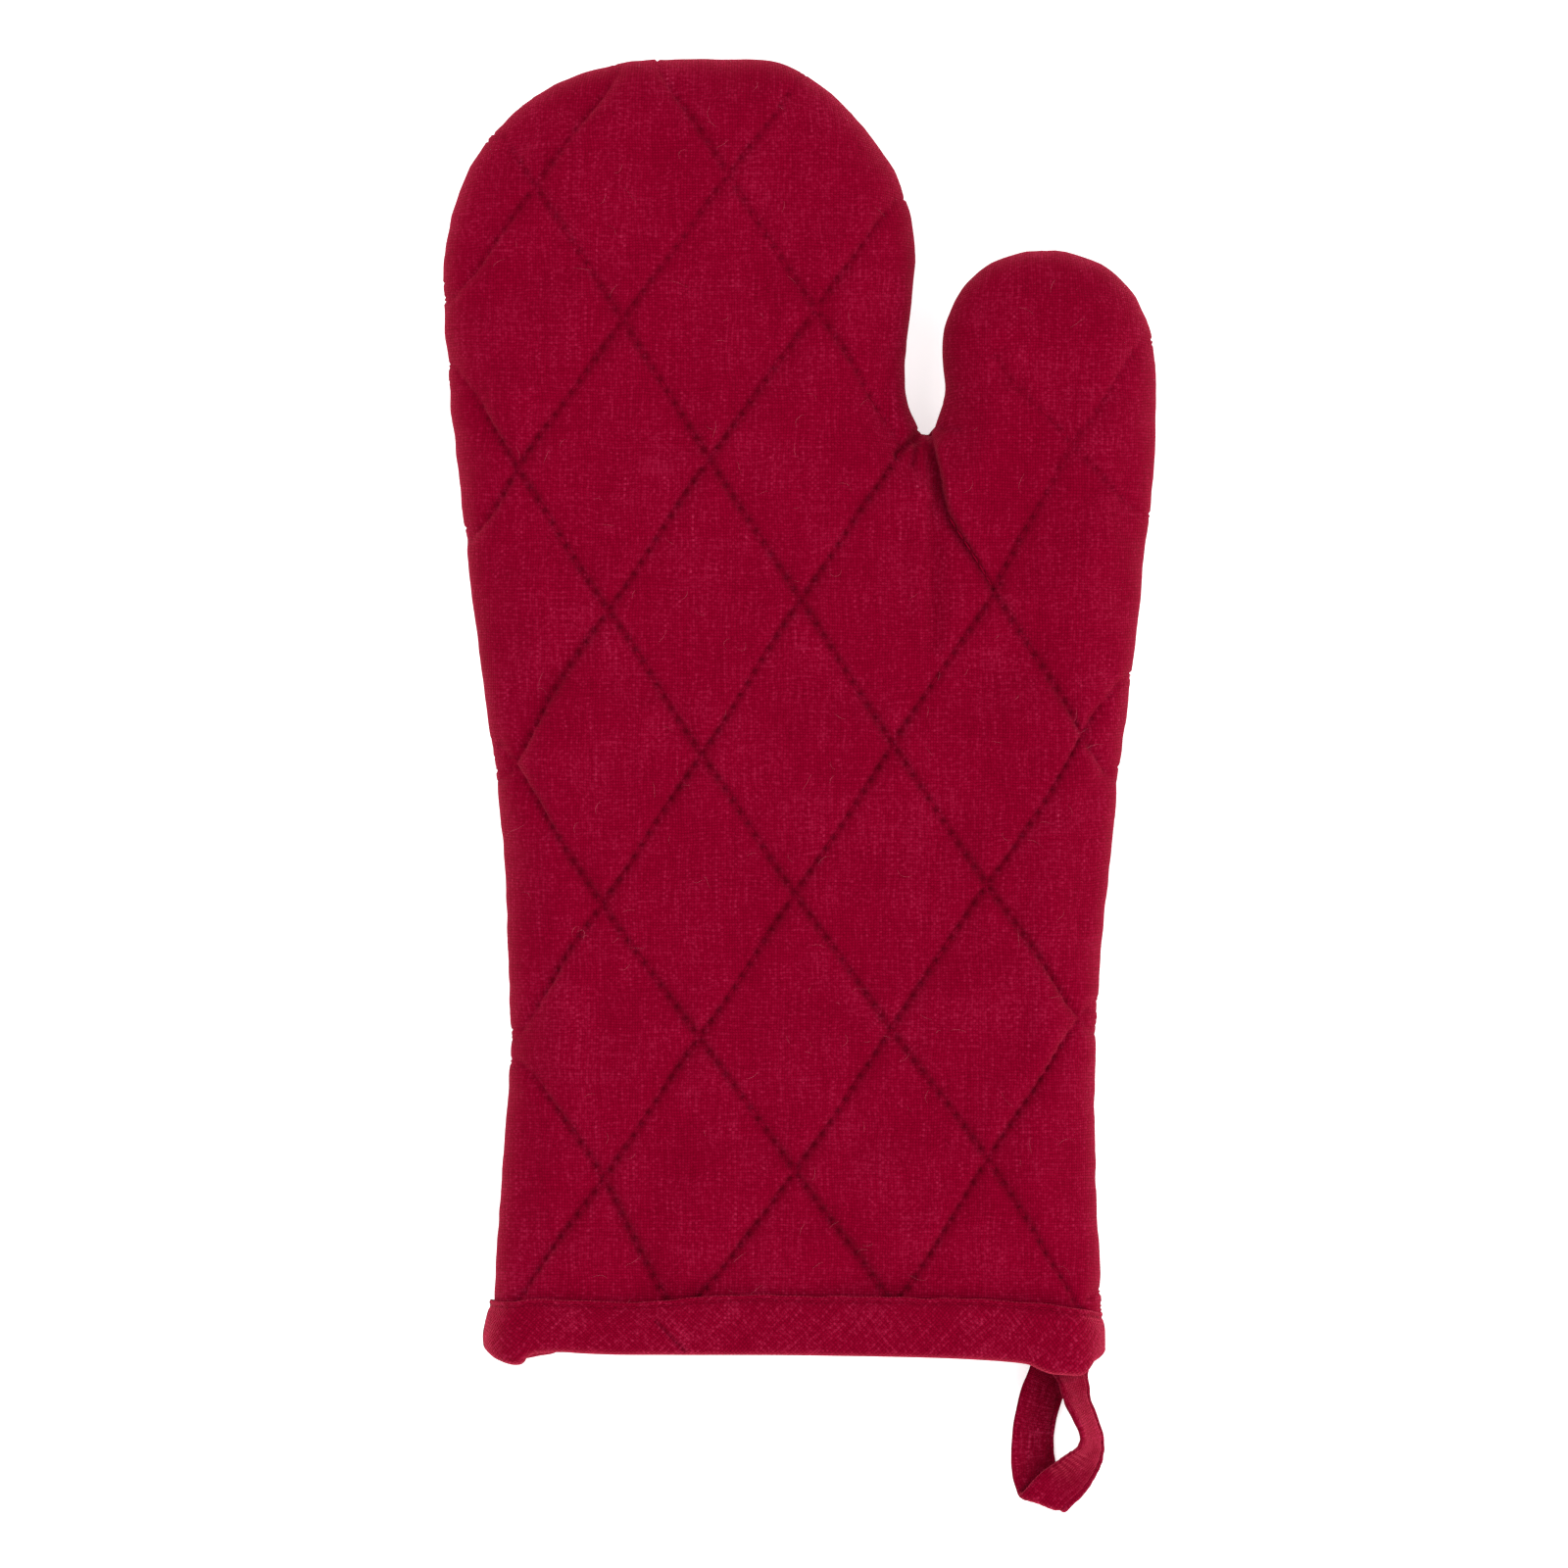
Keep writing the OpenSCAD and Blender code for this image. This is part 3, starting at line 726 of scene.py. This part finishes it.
def binding():
    """The bias tape folded over the raw edge, its puffed outside, its diagonal join and its
    stitching on both sides."""
    ring, at = mouth_ring(0.75)
    x, z, nx, nz = ring.T
    back = smooth(SEAM_Z - 5, SEAM_Z + 5, z)
    top = TAPE_TOP(x) + 0.22 * waves(at, 0 * at, 17, 21) + 0.12 * waves(at, 0 * at, 6, 22)
    inner_top = TAPE_INSIDE + 0.3 * waves(at, 0 * at, 21, 23)
    foot = BACK_FOOT(x) * back + PALM_FOOT(x) * (1 - back) + FOLD_ROUND
    wall = CUFF_WALL
    b = BINDING
    # across the tape: how far off the panel's outer face, and the share of the way up from the
    # foot to the top, with a step in millimetres added
    outside = [(0.03, 1, -0.6), (0.18, 1, 0.10), (0.48, 1, 0.24), (b - 0.12, 1, 0.16), (b + .04, 1, -.16),
               (b - 0.02, 1, -0.55), (b - .30, 1, -0.95), (b - 0.34, 1, -1.25), (b - .06, 1, -1.65),
               (b + 0.18, 1, -2.4), (b + 0.30, 1, -3.2)]
    outside += [(b + 0.30 + 0.22 * math.sin(math.pi * k / 16), 0.74 - 0.042 * k, 0)
                for k in range(1, 16)]
    outside += [(b + 0.22, .07, 0), (b - 0.06, .03, 0),
               (b - 0.6, 0, -0.15), (-0.5, 0, -0.55), (-wall * .35, 0, -0.72),
               (-wall * .65, 0, -0.72), (-wall * .9, 0, -0.5), (-wall - b * .6, 0, -0.05)]
    inside_up = [(-wall - b - .02, .08, 0), (-wall - b - .12, .25, 0), (-wall - b - .12, .5, 0),
                 (-wall - b - .05, 1, -2.4), (-wall - b + .25, 1, -1.3), (-wall - b + .25, 1, -1.0),
                 (-wall - b, 1, -0.5), (-wall - b + 0.2, 1, 0.1), (-wall - .1, 1, 0.1),
                 (-wall - .02, 1, -1.0), (-wall - .02, .5, 0), (-wall + .1, 0, 0.95),
                 (-wall * .5, 0, 0.62), (-0.1, 0, 0.95), (0.02, .5, 0)]
    profile = [(o, s, e, True) for o, s, e in outside] + [(o, s, e, False) for o, s, e in inside_up]
    sections = []
    creases = []
    uv = []
    run = 0.0
    last = None
    for off, share, extra, out in profile:
        height = (top if out else inner_top)
        dark = np.zeros(len(x))
        y = foot + (height - foot) * share + extra
        off = off + np.zeros(len(x))
        if out and off.max() > 0.5:
            level = np.clip((y - foot) / (top - foot), 0, 1)
            off = off + 0.16 * waves(at, y * 1.2, 9, 24) * np.sin(level * math.pi)
            off += 0.10 * np.sin((at + y) * 2.3 + waves(at, y, 14, 25) * 2) * bell(level - .80, .13)
            d, _, _, hand = nearest(np.column_stack([x, y + CUFF_Y]), JOIN)
            off += back * (-0.55 * bell(d, .45) + 0.35 * bell(d * hand - 1.3, .9))
            # painted shade in the groove of the tape's diagonal join
            dark = np.maximum(dark, 1.1 * back * bell(d, 0.42))
        if out and off.max() > 0.1:
            end = smooth(66, 78, x - CUFF_X)
            end_left = smooth(66, 78, CUFF_X - x)
            off += end * (-0.3 - 0.45 * bell(y - 15, 5)) + end_left * (0.5 * bell(y - 4.5, 5)
                                                                      - 0.75 * bell(y - 15, 4.5))
            off = np.maximum(off, 0.04)
        if share == 0 or (out and share < .15):
            off = off + 0.12 * waves(at, 0 * at, 12, 26)
        sections.append(np.column_stack([x + nx * off, CUFF_Y + y, z + nz * off]))
        if last is not None:
            run += np.linalg.norm(sections[-1] - last, axis=1).mean()
        last = sections[-1]
        creases.append(dark)
        uv.append(np.column_stack([at + run, at - run]) * math.sqrt(0.5))
    rows = np.stack(sections, axis=1)
    rows[..., 2] = np.maximum(rows[..., 2], 0.03)
    made = sweep("cuff_binding_tape", rows[::-1], closed=True)
    lay_uv(made, np.stack(uv, axis=1)[::-1].reshape(-1, 2))
    crease = np.stack(creases, axis=1)
    crease[:, 6:8] = 0.35           # painted shade in the groove that the top stitching pulls
    crease[:, [0, 1]] = 0.9         # the shade under the tape's edge
    note(made, "crease", crease[::-1].reshape(-1))
    made.data.materials.append(TAPE)
    ends = []
    pitch = 2.9
    drawn_in = 0.75 * smooth(66, 78, abs(x - CUFF_X))
    for off, height, sign in ((b - 0.26 - drawn_in, top - 1.1, 1),
                              (-wall - b + 0.14, inner_top - 1.15, -1)):
        starts = np.arange(0, at[-1] - pitch, pitch)
        pairs = np.stack([starts + 0.3, starts + pitch - 0.3], axis=1)
        place = np.column_stack([x + nx * off, CUFF_Y + height, z + nz * off])
        place[:, 2] = np.maximum(place[:, 2], 0.22)
        p = np.stack([np.interp(pairs, at, place[:, k]) for k in range(3)], axis=2)
        up = np.stack([np.interp(pairs[:, 0], at, c * sign) for c in (nx, 0 * nx, nz)], axis=1)
        ends += [(q[0], q[1], u) for q, u in zip(p, up)]
    return made, bars("binding_stitches", ends, 0.21, sides=5, sag=0.08)


# ---------------------------------------------------------------- hanging loop
ROOT = np.array([CUFF_X + 66.2, CUFF_Y - 3.2])
LOOP_Z, TAPE_WIDTH, TAPE_THICK = 7.0, 12.0, 1.3
FOLD = from_pattern([(56.0, -33.4), (68.6, -37.8)])   # the crease where the tape folds over
FOLD_RADIUS = 1.25
# X and Y of the tape's middle, its height there, and its tilt about its own length. The first
# strand runs from the cuff down to the fold, and the second comes back over it.
FIRST_STRAND = [(66.6, 3, 6.2, 4), (65.5, -1, 5.4, 12), (63.8, -4.8, 4.3, 20), (62.1, -8.8, 3.8, 24),
                (60.9, -13, 3.6, 26), (60.1, -17, 3.5, 27), (59.7, -21, 3.4, 26),
                (59.7, -25, 3.0, 22), (60.3, -29.2, 2.3, 14), (61.6, -33.4, 2.0, 8)]
SECOND_STRAND = [(65.4, -33.6, 2.2, 10), (68.4, -31, 2.8, 18), (71.2, -28, 3.6, 32),
                 (73.9, -24.4, 4.2, 50), (74.7, -20.8, 4.5, 60), (74, -17.4, 4.6, 63),
                 (72.7, -14.2, 4.6, 62), (71.4, -11.4, 4.6, 59), (70.6, -8.2, 4.6, 54),
                 (69.9, -4.9, 4.7, 50), (69, -1.2, 4.9, 30), (68, 3, 5.2, 6)]


def loop_sheet(step):
    """The middle of the tape as a function of the distance across it. The tape is laid out flat
    past the crease first, and what lies past it is then rolled over and back."""
    line = (FOLD[1] - FOLD[0]) / np.linalg.norm(FOLD[1] - FOLD[0])
    away = np.array([line[1], -line[0]])
    first, second = np.array(FIRST_STRAND, float), np.array(SECOND_STRAND, float)
    first[:, :2], second[:, :2] = from_pattern(first[:, :2]), from_pattern(second[:, :2])
    back_over = (second[:, :2] - FOLD[0]) @ away
    second[:, :2] += away * (math.pi * FOLD_RADIUS - 2 * back_over)[:, None]
    way = spline(np.vstack([first, second]), step)
    across = leftward(headings(way[:, :2]))
    tilt = np.radians(way[:, 3])

    def at(w):
        flat = way[:, :2] + across * (w * np.cos(tilt))[:, None]
        z = way[:, 2] - w * np.sin(tilt)
        past = (flat - FOLD[0]) @ away
        turn = np.clip(past / FOLD_RADIUS, 0, math.pi)
        beyond = np.maximum(past - math.pi * FOLD_RADIUS, 0)
        shift = -np.maximum(past, 0) + FOLD_RADIUS * np.sin(turn) - beyond
        return np.column_stack([flat + away * shift[:, None], z + FOLD_RADIUS * (1 - np.cos(turn))])

    return at, len(way)


def hanging_loop():
    """The folded tape: soft folded edges, a row of edge stitching, and its fold."""
    step = 0.6
    sheet, n = loop_sheet(step)
    at = np.arange(n) * step

    def face(w):
        """Points and normals down the tape at a distance across it."""
        middle = sheet(w)
        ahead = np.gradient(middle, axis=0)
        across = sheet(w + 0.2) - sheet(w - 0.2)
        return middle, unit(np.cross(ahead, across), 1e-9)

    half, thick = TAPE_WIDTH / 2, TAPE_THICK / 2
    seam = half - 1.4
    upper = [(-half + .02, 0), (-half + .15, .5), (-half + .55, .9), (-half + 1.3, 1.1), (-4, 1.08),
             (-2.8, 1.02), (-1.4, .98), (0, .96), (1.4, .98), (2.8, 1.02), (seam - .9, 1),
             (seam - .45, .8), (seam, .5), (seam + .4, .8), (seam + .8, 1), (half - .3, .85),
             (half - .08, .45)]
    ring = upper + [(half, 0)] + [(w, -h) for w, h in reversed(upper[1:])]
    rows = []
    for w, h in ring:
        middle, off = face(w)
        rise = h * thick * (1 + 0.06 * waves(at, 0 * at + w, 11, 31))
        rise += 0.12 * waves(at, 0 * at + w * 1.5, 8, 32)
        rows.append(middle + off * rise[:, None])
    rows = np.stack(rows, axis=1)
    rows[..., 2] = np.maximum(rows[..., 2], 0.04)
    made = sweep("loop_tape", rows, closed=False)
    width = np.array([w + (20 if h < 0 else 0) for w, h in ring])
    lay_uv(made, np.stack(np.broadcast_arrays(width[None], at[:, None]), axis=2).reshape(-1, 2))
    # painted shade along the groove of the edge stitching
    note(made, "crease", np.tile([0.6 if abs(w - seam) < 0.3 else 0 for w, h in ring], n))
    made.data.materials.append(LOOP)
    middle, off = face(seam)
    ends = []
    for sign in (1, -1):
        line = middle + off * (sign * (0.5 * thick + 0.1))
        for s in np.arange(6, at[-1] - 6, 2.6):
            p, q, u = (np.array([np.interp(t, at, c) for c in v.T])
                       for t, v in ((s + .25, line), (s + 2.35, line), (s + 1.3, off * sign)))
            ends.append((p, q, u))
    return made, bars("loop_stitches", ends, 0.17, sides=5, sag=0.05)


def tails():
    """The two ends of the tape, side by side between the binding and the palm's edge."""
    rows = []
    for y in np.linspace(0, 13.5, 10):
        half = TAPE_WIDTH / 2 - 0.3 * math.cos(y)
        for_edge = [(-half, 0), (-half + .4, .9), (-half + 1.5, 1.25), (0, 1.2), (half - 1.5, 1.25),
                    (half - .4, .9), (half, 0), (half - .4, -.9), (half - 1.5, -1.25), (0, -1.2),
                    (-half + 1.5, -1.25), (-half + .4, -.9)]
        rows.append([(ROOT[0] + w, ROOT[1] + 0.6 + y, LOOP_Z + h) for w, h in for_edge])
    made = sweep("loop_tape_ends", rows[::-1], closed=False)
    lay_uv(made, [(p[0], p[1]) for r in rows for p in r])
    made.data.materials.append(LOOP)
    return made


# ---------------------------------------------------------------- lint
def lint(count):
    """Loose fibre ends that stand off the cloth."""
    draw = np.random.default_rng(5)
    low, high = EDGE.min(0), EDGE.max(0)
    spots = draw.uniform(low, high, (count * 3, 2))
    spots = spots[inside(spots, 6.0)][:count]
    verts, faces = [], []
    for spot in spots:
        length, heading, curl = draw.uniform(1.6, 5.0), draw.uniform(0, 6.28), draw.normal(0, 0.5)
        path = [spot]
        for _ in range(7):
            heading += curl * 0.35 + draw.normal(0, 0.18)
            path.append(path[-1] + np.array([math.cos(heading), math.sin(heading)]) * length / 7)
        path = np.array(path)
        base, up, _, _ = skin(path, BACK, PUFF * 0.75)
        base += up * (0.35 + 0.25 * np.sin(np.linspace(0, 3.1, 8)))[:, None]
        first = len(verts)
        for i, p in enumerate(base):
            r = 0.035 * (1 - abs(i - 3.5) / 6)
            for a in (0, 2.09, 4.19):
                verts.append(p + np.array([math.cos(a) * r, math.sin(a) * r, math.sin(a + 1) * r]))
        for i in range(7):
            for k in range(3):
                faces.append((first + i * 3 + k, first + i * 3 + (k + 1) % 3,
                              first + i * 3 + 3 + (k + 1) % 3, first + i * 3 + 3 + k))
    made = piece("lint_fibres", verts, faces)
    made.data.materials.append(FIBRE)
    return made


# ---------------------------------------------------------------- materials
SHINE = (1.0, 0.05, 0.2, 1)      # the tint of what little the cloth and thread mirror


class Graph:
    """A material's nodes, with short calls for the sums that a weave needs."""

    def __init__(self, name):
        self.material = bpy.data.materials.new(name)
        self.material.use_nodes = True
        self.tree = self.material.node_tree
        self.skin = self.tree.nodes["Principled BSDF"]

    def node(self, kind, inputs=None, **values):
        made = self.tree.nodes.new(kind)
        for key, value in values.items():
            setattr(made, key, value)
        return self.feed(made, inputs or {})

    def feed(self, node, inputs):
        for key, value in inputs.items():
            self.put(node.inputs[key], value)
        return node

    def put(self, socket, value):
        if isinstance(value, bpy.types.NodeSocket):
            self.tree.links.new(value, socket)
        else:
            socket.default_value = value

    def math(self, operation, *values):
        return self.node("ShaderNodeMath", dict(enumerate(values)), operation=operation).outputs[0]

    def vector(self, x, y, z=0.0):
        return self.node("ShaderNodeCombineXYZ", {0: x, 1: y, 2: z}).outputs[0]

    def noise(self, vector, scale, detail=2.0, roughness=0.5):
        return self.node("ShaderNodeTexNoise", {
            "Vector": vector, "Scale": scale, "Detail": detail, "Roughness": roughness}).outputs["Fac"]

    def mix(self, factor, a, b):
        return self.node("ShaderNodeMix", {"Factor": factor, "A": a, "B": b}).outputs["Result"]

    def ramp(self, factor, stops):
        made = self.node("ShaderNodeValToRGB", {0: factor})
        band = made.color_ramp.elements
        while len(band) < len(stops):
            band.new(0.5)
        for e, (at, colour) in zip(band, stops):
            e.position, e.color = at, (*colour, 1)
        return made.outputs[0]

    def scaled(self, colour, factor):
        return self.node("ShaderNodeVectorMath", {0: colour, "Scale": factor},
                         operation="SCALE").outputs[0]


def woven(name, dark, middle, light, pitch=WEAVE, bump=0.16, slub=1.0, sheen=0.42):
    """Plain weave in the cloth's own coordinates: over and under threads, each with its own
    tone and its slubs."""
    g = Graph(name)
    cloth = g.node("ShaderNodeUVMap", uv_map="cloth").outputs[0]
    tex = g.node("ShaderNodeTexNoise", {"Vector": cloth, "Scale": 90, "Detail": 1})
    wander = g.scaled(tex.outputs["Color"], 0.0016)
    bent = g.node("ShaderNodeVectorMath", {0: cloth, 1: wander}, operation="ADD")
    parts = g.node("ShaderNodeSeparateXYZ", {0: bent.outputs[0]})
    u = g.math("DIVIDE", parts.outputs[0], pitch * MM)
    v = g.math("DIVIDE", parts.outputs[1], pitch * MM)
    column, row = g.math("FLOOR", u), g.math("FLOOR", v)
    fu = g.math("SUBTRACT", g.math("FRACT", u), 0.5)
    fv = g.math("SUBTRACT", g.math("FRACT", v), 0.5)
    round_u = g.math("COSINE", g.math("MULTIPLY", fu, math.pi))
    round_v = g.math("COSINE", g.math("MULTIPLY", fv, math.pi))
    over = g.math("FLOORED_MODULO", g.math("ADD", column, row), 2.0)
    warp = g.math("MULTIPLY", round_u, g.math("POWER", round_v, 0.45))
    weft = g.math("MULTIPLY", round_v, g.math("POWER", round_u, 0.45))
    height = g.mix(over, warp, weft)

    def tone(index, other, shift):
        """An even tone along each thread, with slubs."""
        place = g.vector(g.math("MULTIPLY", index, 3.71), g.math("MULTIPLY", other, 0.07 * slub), shift)
        return g.noise(place, 1.0, 3.0, 0.65)

    tones = g.mix(over, tone(column, v, 2.0), g.math("MULTIPLY_ADD", tone(row, u, 9.0), 0.55, 0.225))
    fleck = g.noise(g.vector(g.math("MULTIPLY", u, 0.7), g.math("MULTIPLY", v, 0.7), 4.0), 1.0, 2.0, 0.7)
    cloudy = g.noise(cloth, 45, 3.0, 0.6)
    shade = g.math("ADD", g.math("MULTIPLY", tones, 0.50),
                   g.math("ADD", g.math("MULTIPLY", fleck, 0.34), g.math("MULTIPLY", cloudy, 0.16)))
    colour = g.ramp(shade, [(0.37, dark), (0.50, middle), (0.63, light), (0.72, SPECK)])
    # painted shade: the hollows of the weave darker than the tops of the threads
    low = g.math("MULTIPLY_ADD", height, 0.36, 0.72)
    crease = g.node("ShaderNodeAttribute", attribute_name="crease").outputs["Fac"]
    # painted shade: darker where the crease attribute says, along quilting lines, folds and seams
    painted_shade = g.math("MULTIPLY", low, g.math("MULTIPLY_ADD", crease, -0.34, 1.0))
    raised = g.node("ShaderNodeBump", {
        "Distance": bump * MM, "Strength": 0.8,
        "Height": g.math("ADD", height, g.math("MULTIPLY", tones, 0.9))})
    g.feed(g.skin, {
        "Base Color": g.scaled(colour, painted_shade), "Normal": raised.outputs[0], "Roughness": 0.92,
        "Specular IOR Level": 0.03, "Specular Tint": SHINE, "Sheen Weight": sheen,
        "Sheen Roughness": 0.33, "Sheen Tint": (1.0, 0.09, 0.17, 1)})
    return g.material


def spun(name, dark, light, roughness=0.6):
    """Twisted sewing thread, or loose fibre."""
    g = Graph(name)
    place = g.node("ShaderNodeTexCoord").outputs["Object"]
    ply = g.node("ShaderNodeTexWave", {"Vector": place, "Scale": 700, "Distortion": 1.5},
                 wave_type="BANDS", bands_direction="DIAGONAL")
    tone = g.math("ADD", g.math("MULTIPLY", ply.outputs["Fac"], 0.5),
                  g.math("MULTIPLY", g.noise(place, 900), 0.5))
    bump = g.node("ShaderNodeBump", {"Distance": 0.05 * MM, "Height": ply.outputs["Fac"]})
    g.feed(g.skin, {
        "Base Color": g.ramp(tone, [(0.2, dark), (0.8, light)]), "Normal": bump.outputs[0],
        "Roughness": roughness, "Specular IOR Level": 0.05, "Specular Tint": SHINE})
    return g.material


DARK, MIDDLE, LIGHT = (0.140, 0.0002, 0.009), (0.180, 0.0003, 0.013), (0.26, 0.006, 0.032)
SPECK = (0.38, 0.030, 0.075)
SHELL = woven("shell_cloth", DARK, MIDDLE, LIGHT)
LINING = woven("lining_cloth", (0.12, 0.0004, 0.008), (0.16, 0.001, 0.013), (0.22, 0.008, 0.027), 0.6)
TAPE = woven("binding_tape", DARK, MIDDLE, (0.30, 0.010, 0.042), bump=0.22, sheen=0.7)
LOOP = woven("loop_tape", DARK, MIDDLE, (0.32, 0.012, 0.046), bump=0.22, sheen=0.8)
THREAD = spun("thread", (0.13, 0.0003, 0.009), (0.22, 0.001, 0.017))
FIBRE = spun("fibre", (0.30, 0.03, 0.06), (0.44, 0.10, 0.14), 0.8)

# ---------------------------------------------------------------- the mitt
def sewn_on(made, slot, *nodes):
    """A piece that goes with the mitt's body: the CAD nodes it stands for, which are hidden, and its
    finish, which is not used.
    """
    if nodes:
        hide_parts(*nodes)
    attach(made, "mitt")


back = panel("back_panel", BACK, fine=True)
palm = panel("palm_panel", PALM, fine=False)
for made, side, nodes in ((back, BACK, ("back_shell", "back_batting", "back_lining")),
                          (palm, PALM, ("palm_shell", "palm_batting", "palm_lining"))):
    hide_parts(*nodes)
    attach(made, "mitt")

for name, side, lining, node in (
        ("back_quilting_stitches", BACK, False, "back_quilting_thread"),
        ("back_bobbin_stitches", BACK, True, "back_bobbin_thread"),
        ("palm_quilting_stitches", PALM, False, "palm_quilting_thread"),
        ("palm_bobbin_stitches", PALM, True, "palm_bobbin_thread")):
    sewn_on(quilting_stitches(name, side, lining), "thread", node)

tape, tape_stitches = binding()
sewn_on(tape, "binding_tape", "cuff_binding")
sewn_on(tape_stitches, "thread", "binding_thread")

seam_path = resample(EDGE, 2.6)
seam_spots = lay(seam_path, BACK, inset=0.45)[0]
seam_spots[:, 2] = SEAM_Z
seam = bars("side_seam_stitches", [(p, q, (0, 0, 1)) for p, q in zip(seam_spots, seam_spots[1:])
                                   if min(p[1], q[1]) > MOUTH_Y + 2], 0.2, sides=5, sag=0)
sewn_on(seam, "thread", "side_seam_thread")

loop, loop_stitches = hanging_loop()
for made, node, slot in ((loop, "hanging_loop", "loop_tape"),
                         (loop_stitches, "loop_edge_thread", "thread")):
    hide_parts(node)
    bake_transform(made)
sewn_on(tails(), "loop_tape", "loop_tails")
sewn_on(lint(150), "shell_cloth")

# ---------------------------------------------------------------- floor, light and camera
scene = bpy.context.scene
scene.view_settings.view_transform = "Standard"

white = Graph("paper")
white.feed(white.skin, {
    "Base Color": white.ramp(white.noise(white.node("ShaderNodeTexCoord").outputs["Object"], 3.0),
                             [(0.3, (0.90, 0.90, 0.90)), (0.7, (0.92, 0.92, 0.92))]),
    "Roughness": 0.9, "Emission Color": (1, 1, 1, 1), "Emission Strength": 0.62})
bpy.ops.mesh.primitive_plane_add(size=8)
floor = bpy.context.object
floor.name = "floor"
floor.data.materials.append(white.material)

world = bpy.data.worlds.new("studio")
world.use_nodes = True
world.node_tree.nodes["Background"].inputs[0].default_value = (1, 1, 1, 1)
world.node_tree.nodes["Background"].inputs[1].default_value = 1.1
scene.world = world


def soft_box(name, place, size, power):
    data = bpy.data.lights.new(name, "AREA")
    data.shape, data.size, data.energy = "DISK", size, power
    made = bpy.data.objects.new(name, data)
    scene.collection.objects.link(made)
    made.location = place
    made.rotation_mode = "QUATERNION"
    made.rotation_quaternion = (-Vector(place)).to_track_quat("-Z", "Y")
    return made


soft_box("key", (-0.9, 0.6, 1.5), 0.9, 12)
soft_box("fill", (1.1, -0.5, 1.6), 1.2, 8)
soft_box("side", (1.3, -1.0, 0.5), 0.8, 14)

VIEW_WIDTH = 0.399       # what the frame shows at the height of the seam
VIEW_CENTRE = ((CUFF_X - 3.75) * MM, 0.0005)
camera = bpy.data.cameras.new("camera")
camera.lens, camera.sensor_width = 300, 36
eye = bpy.data.objects.new("camera", camera)
eye.location = (*VIEW_CENTRE, SEAM_Z * MM + VIEW_WIDTH * camera.lens / camera.sensor_width)
scene.collection.objects.link(eye)
scene.camera = eye
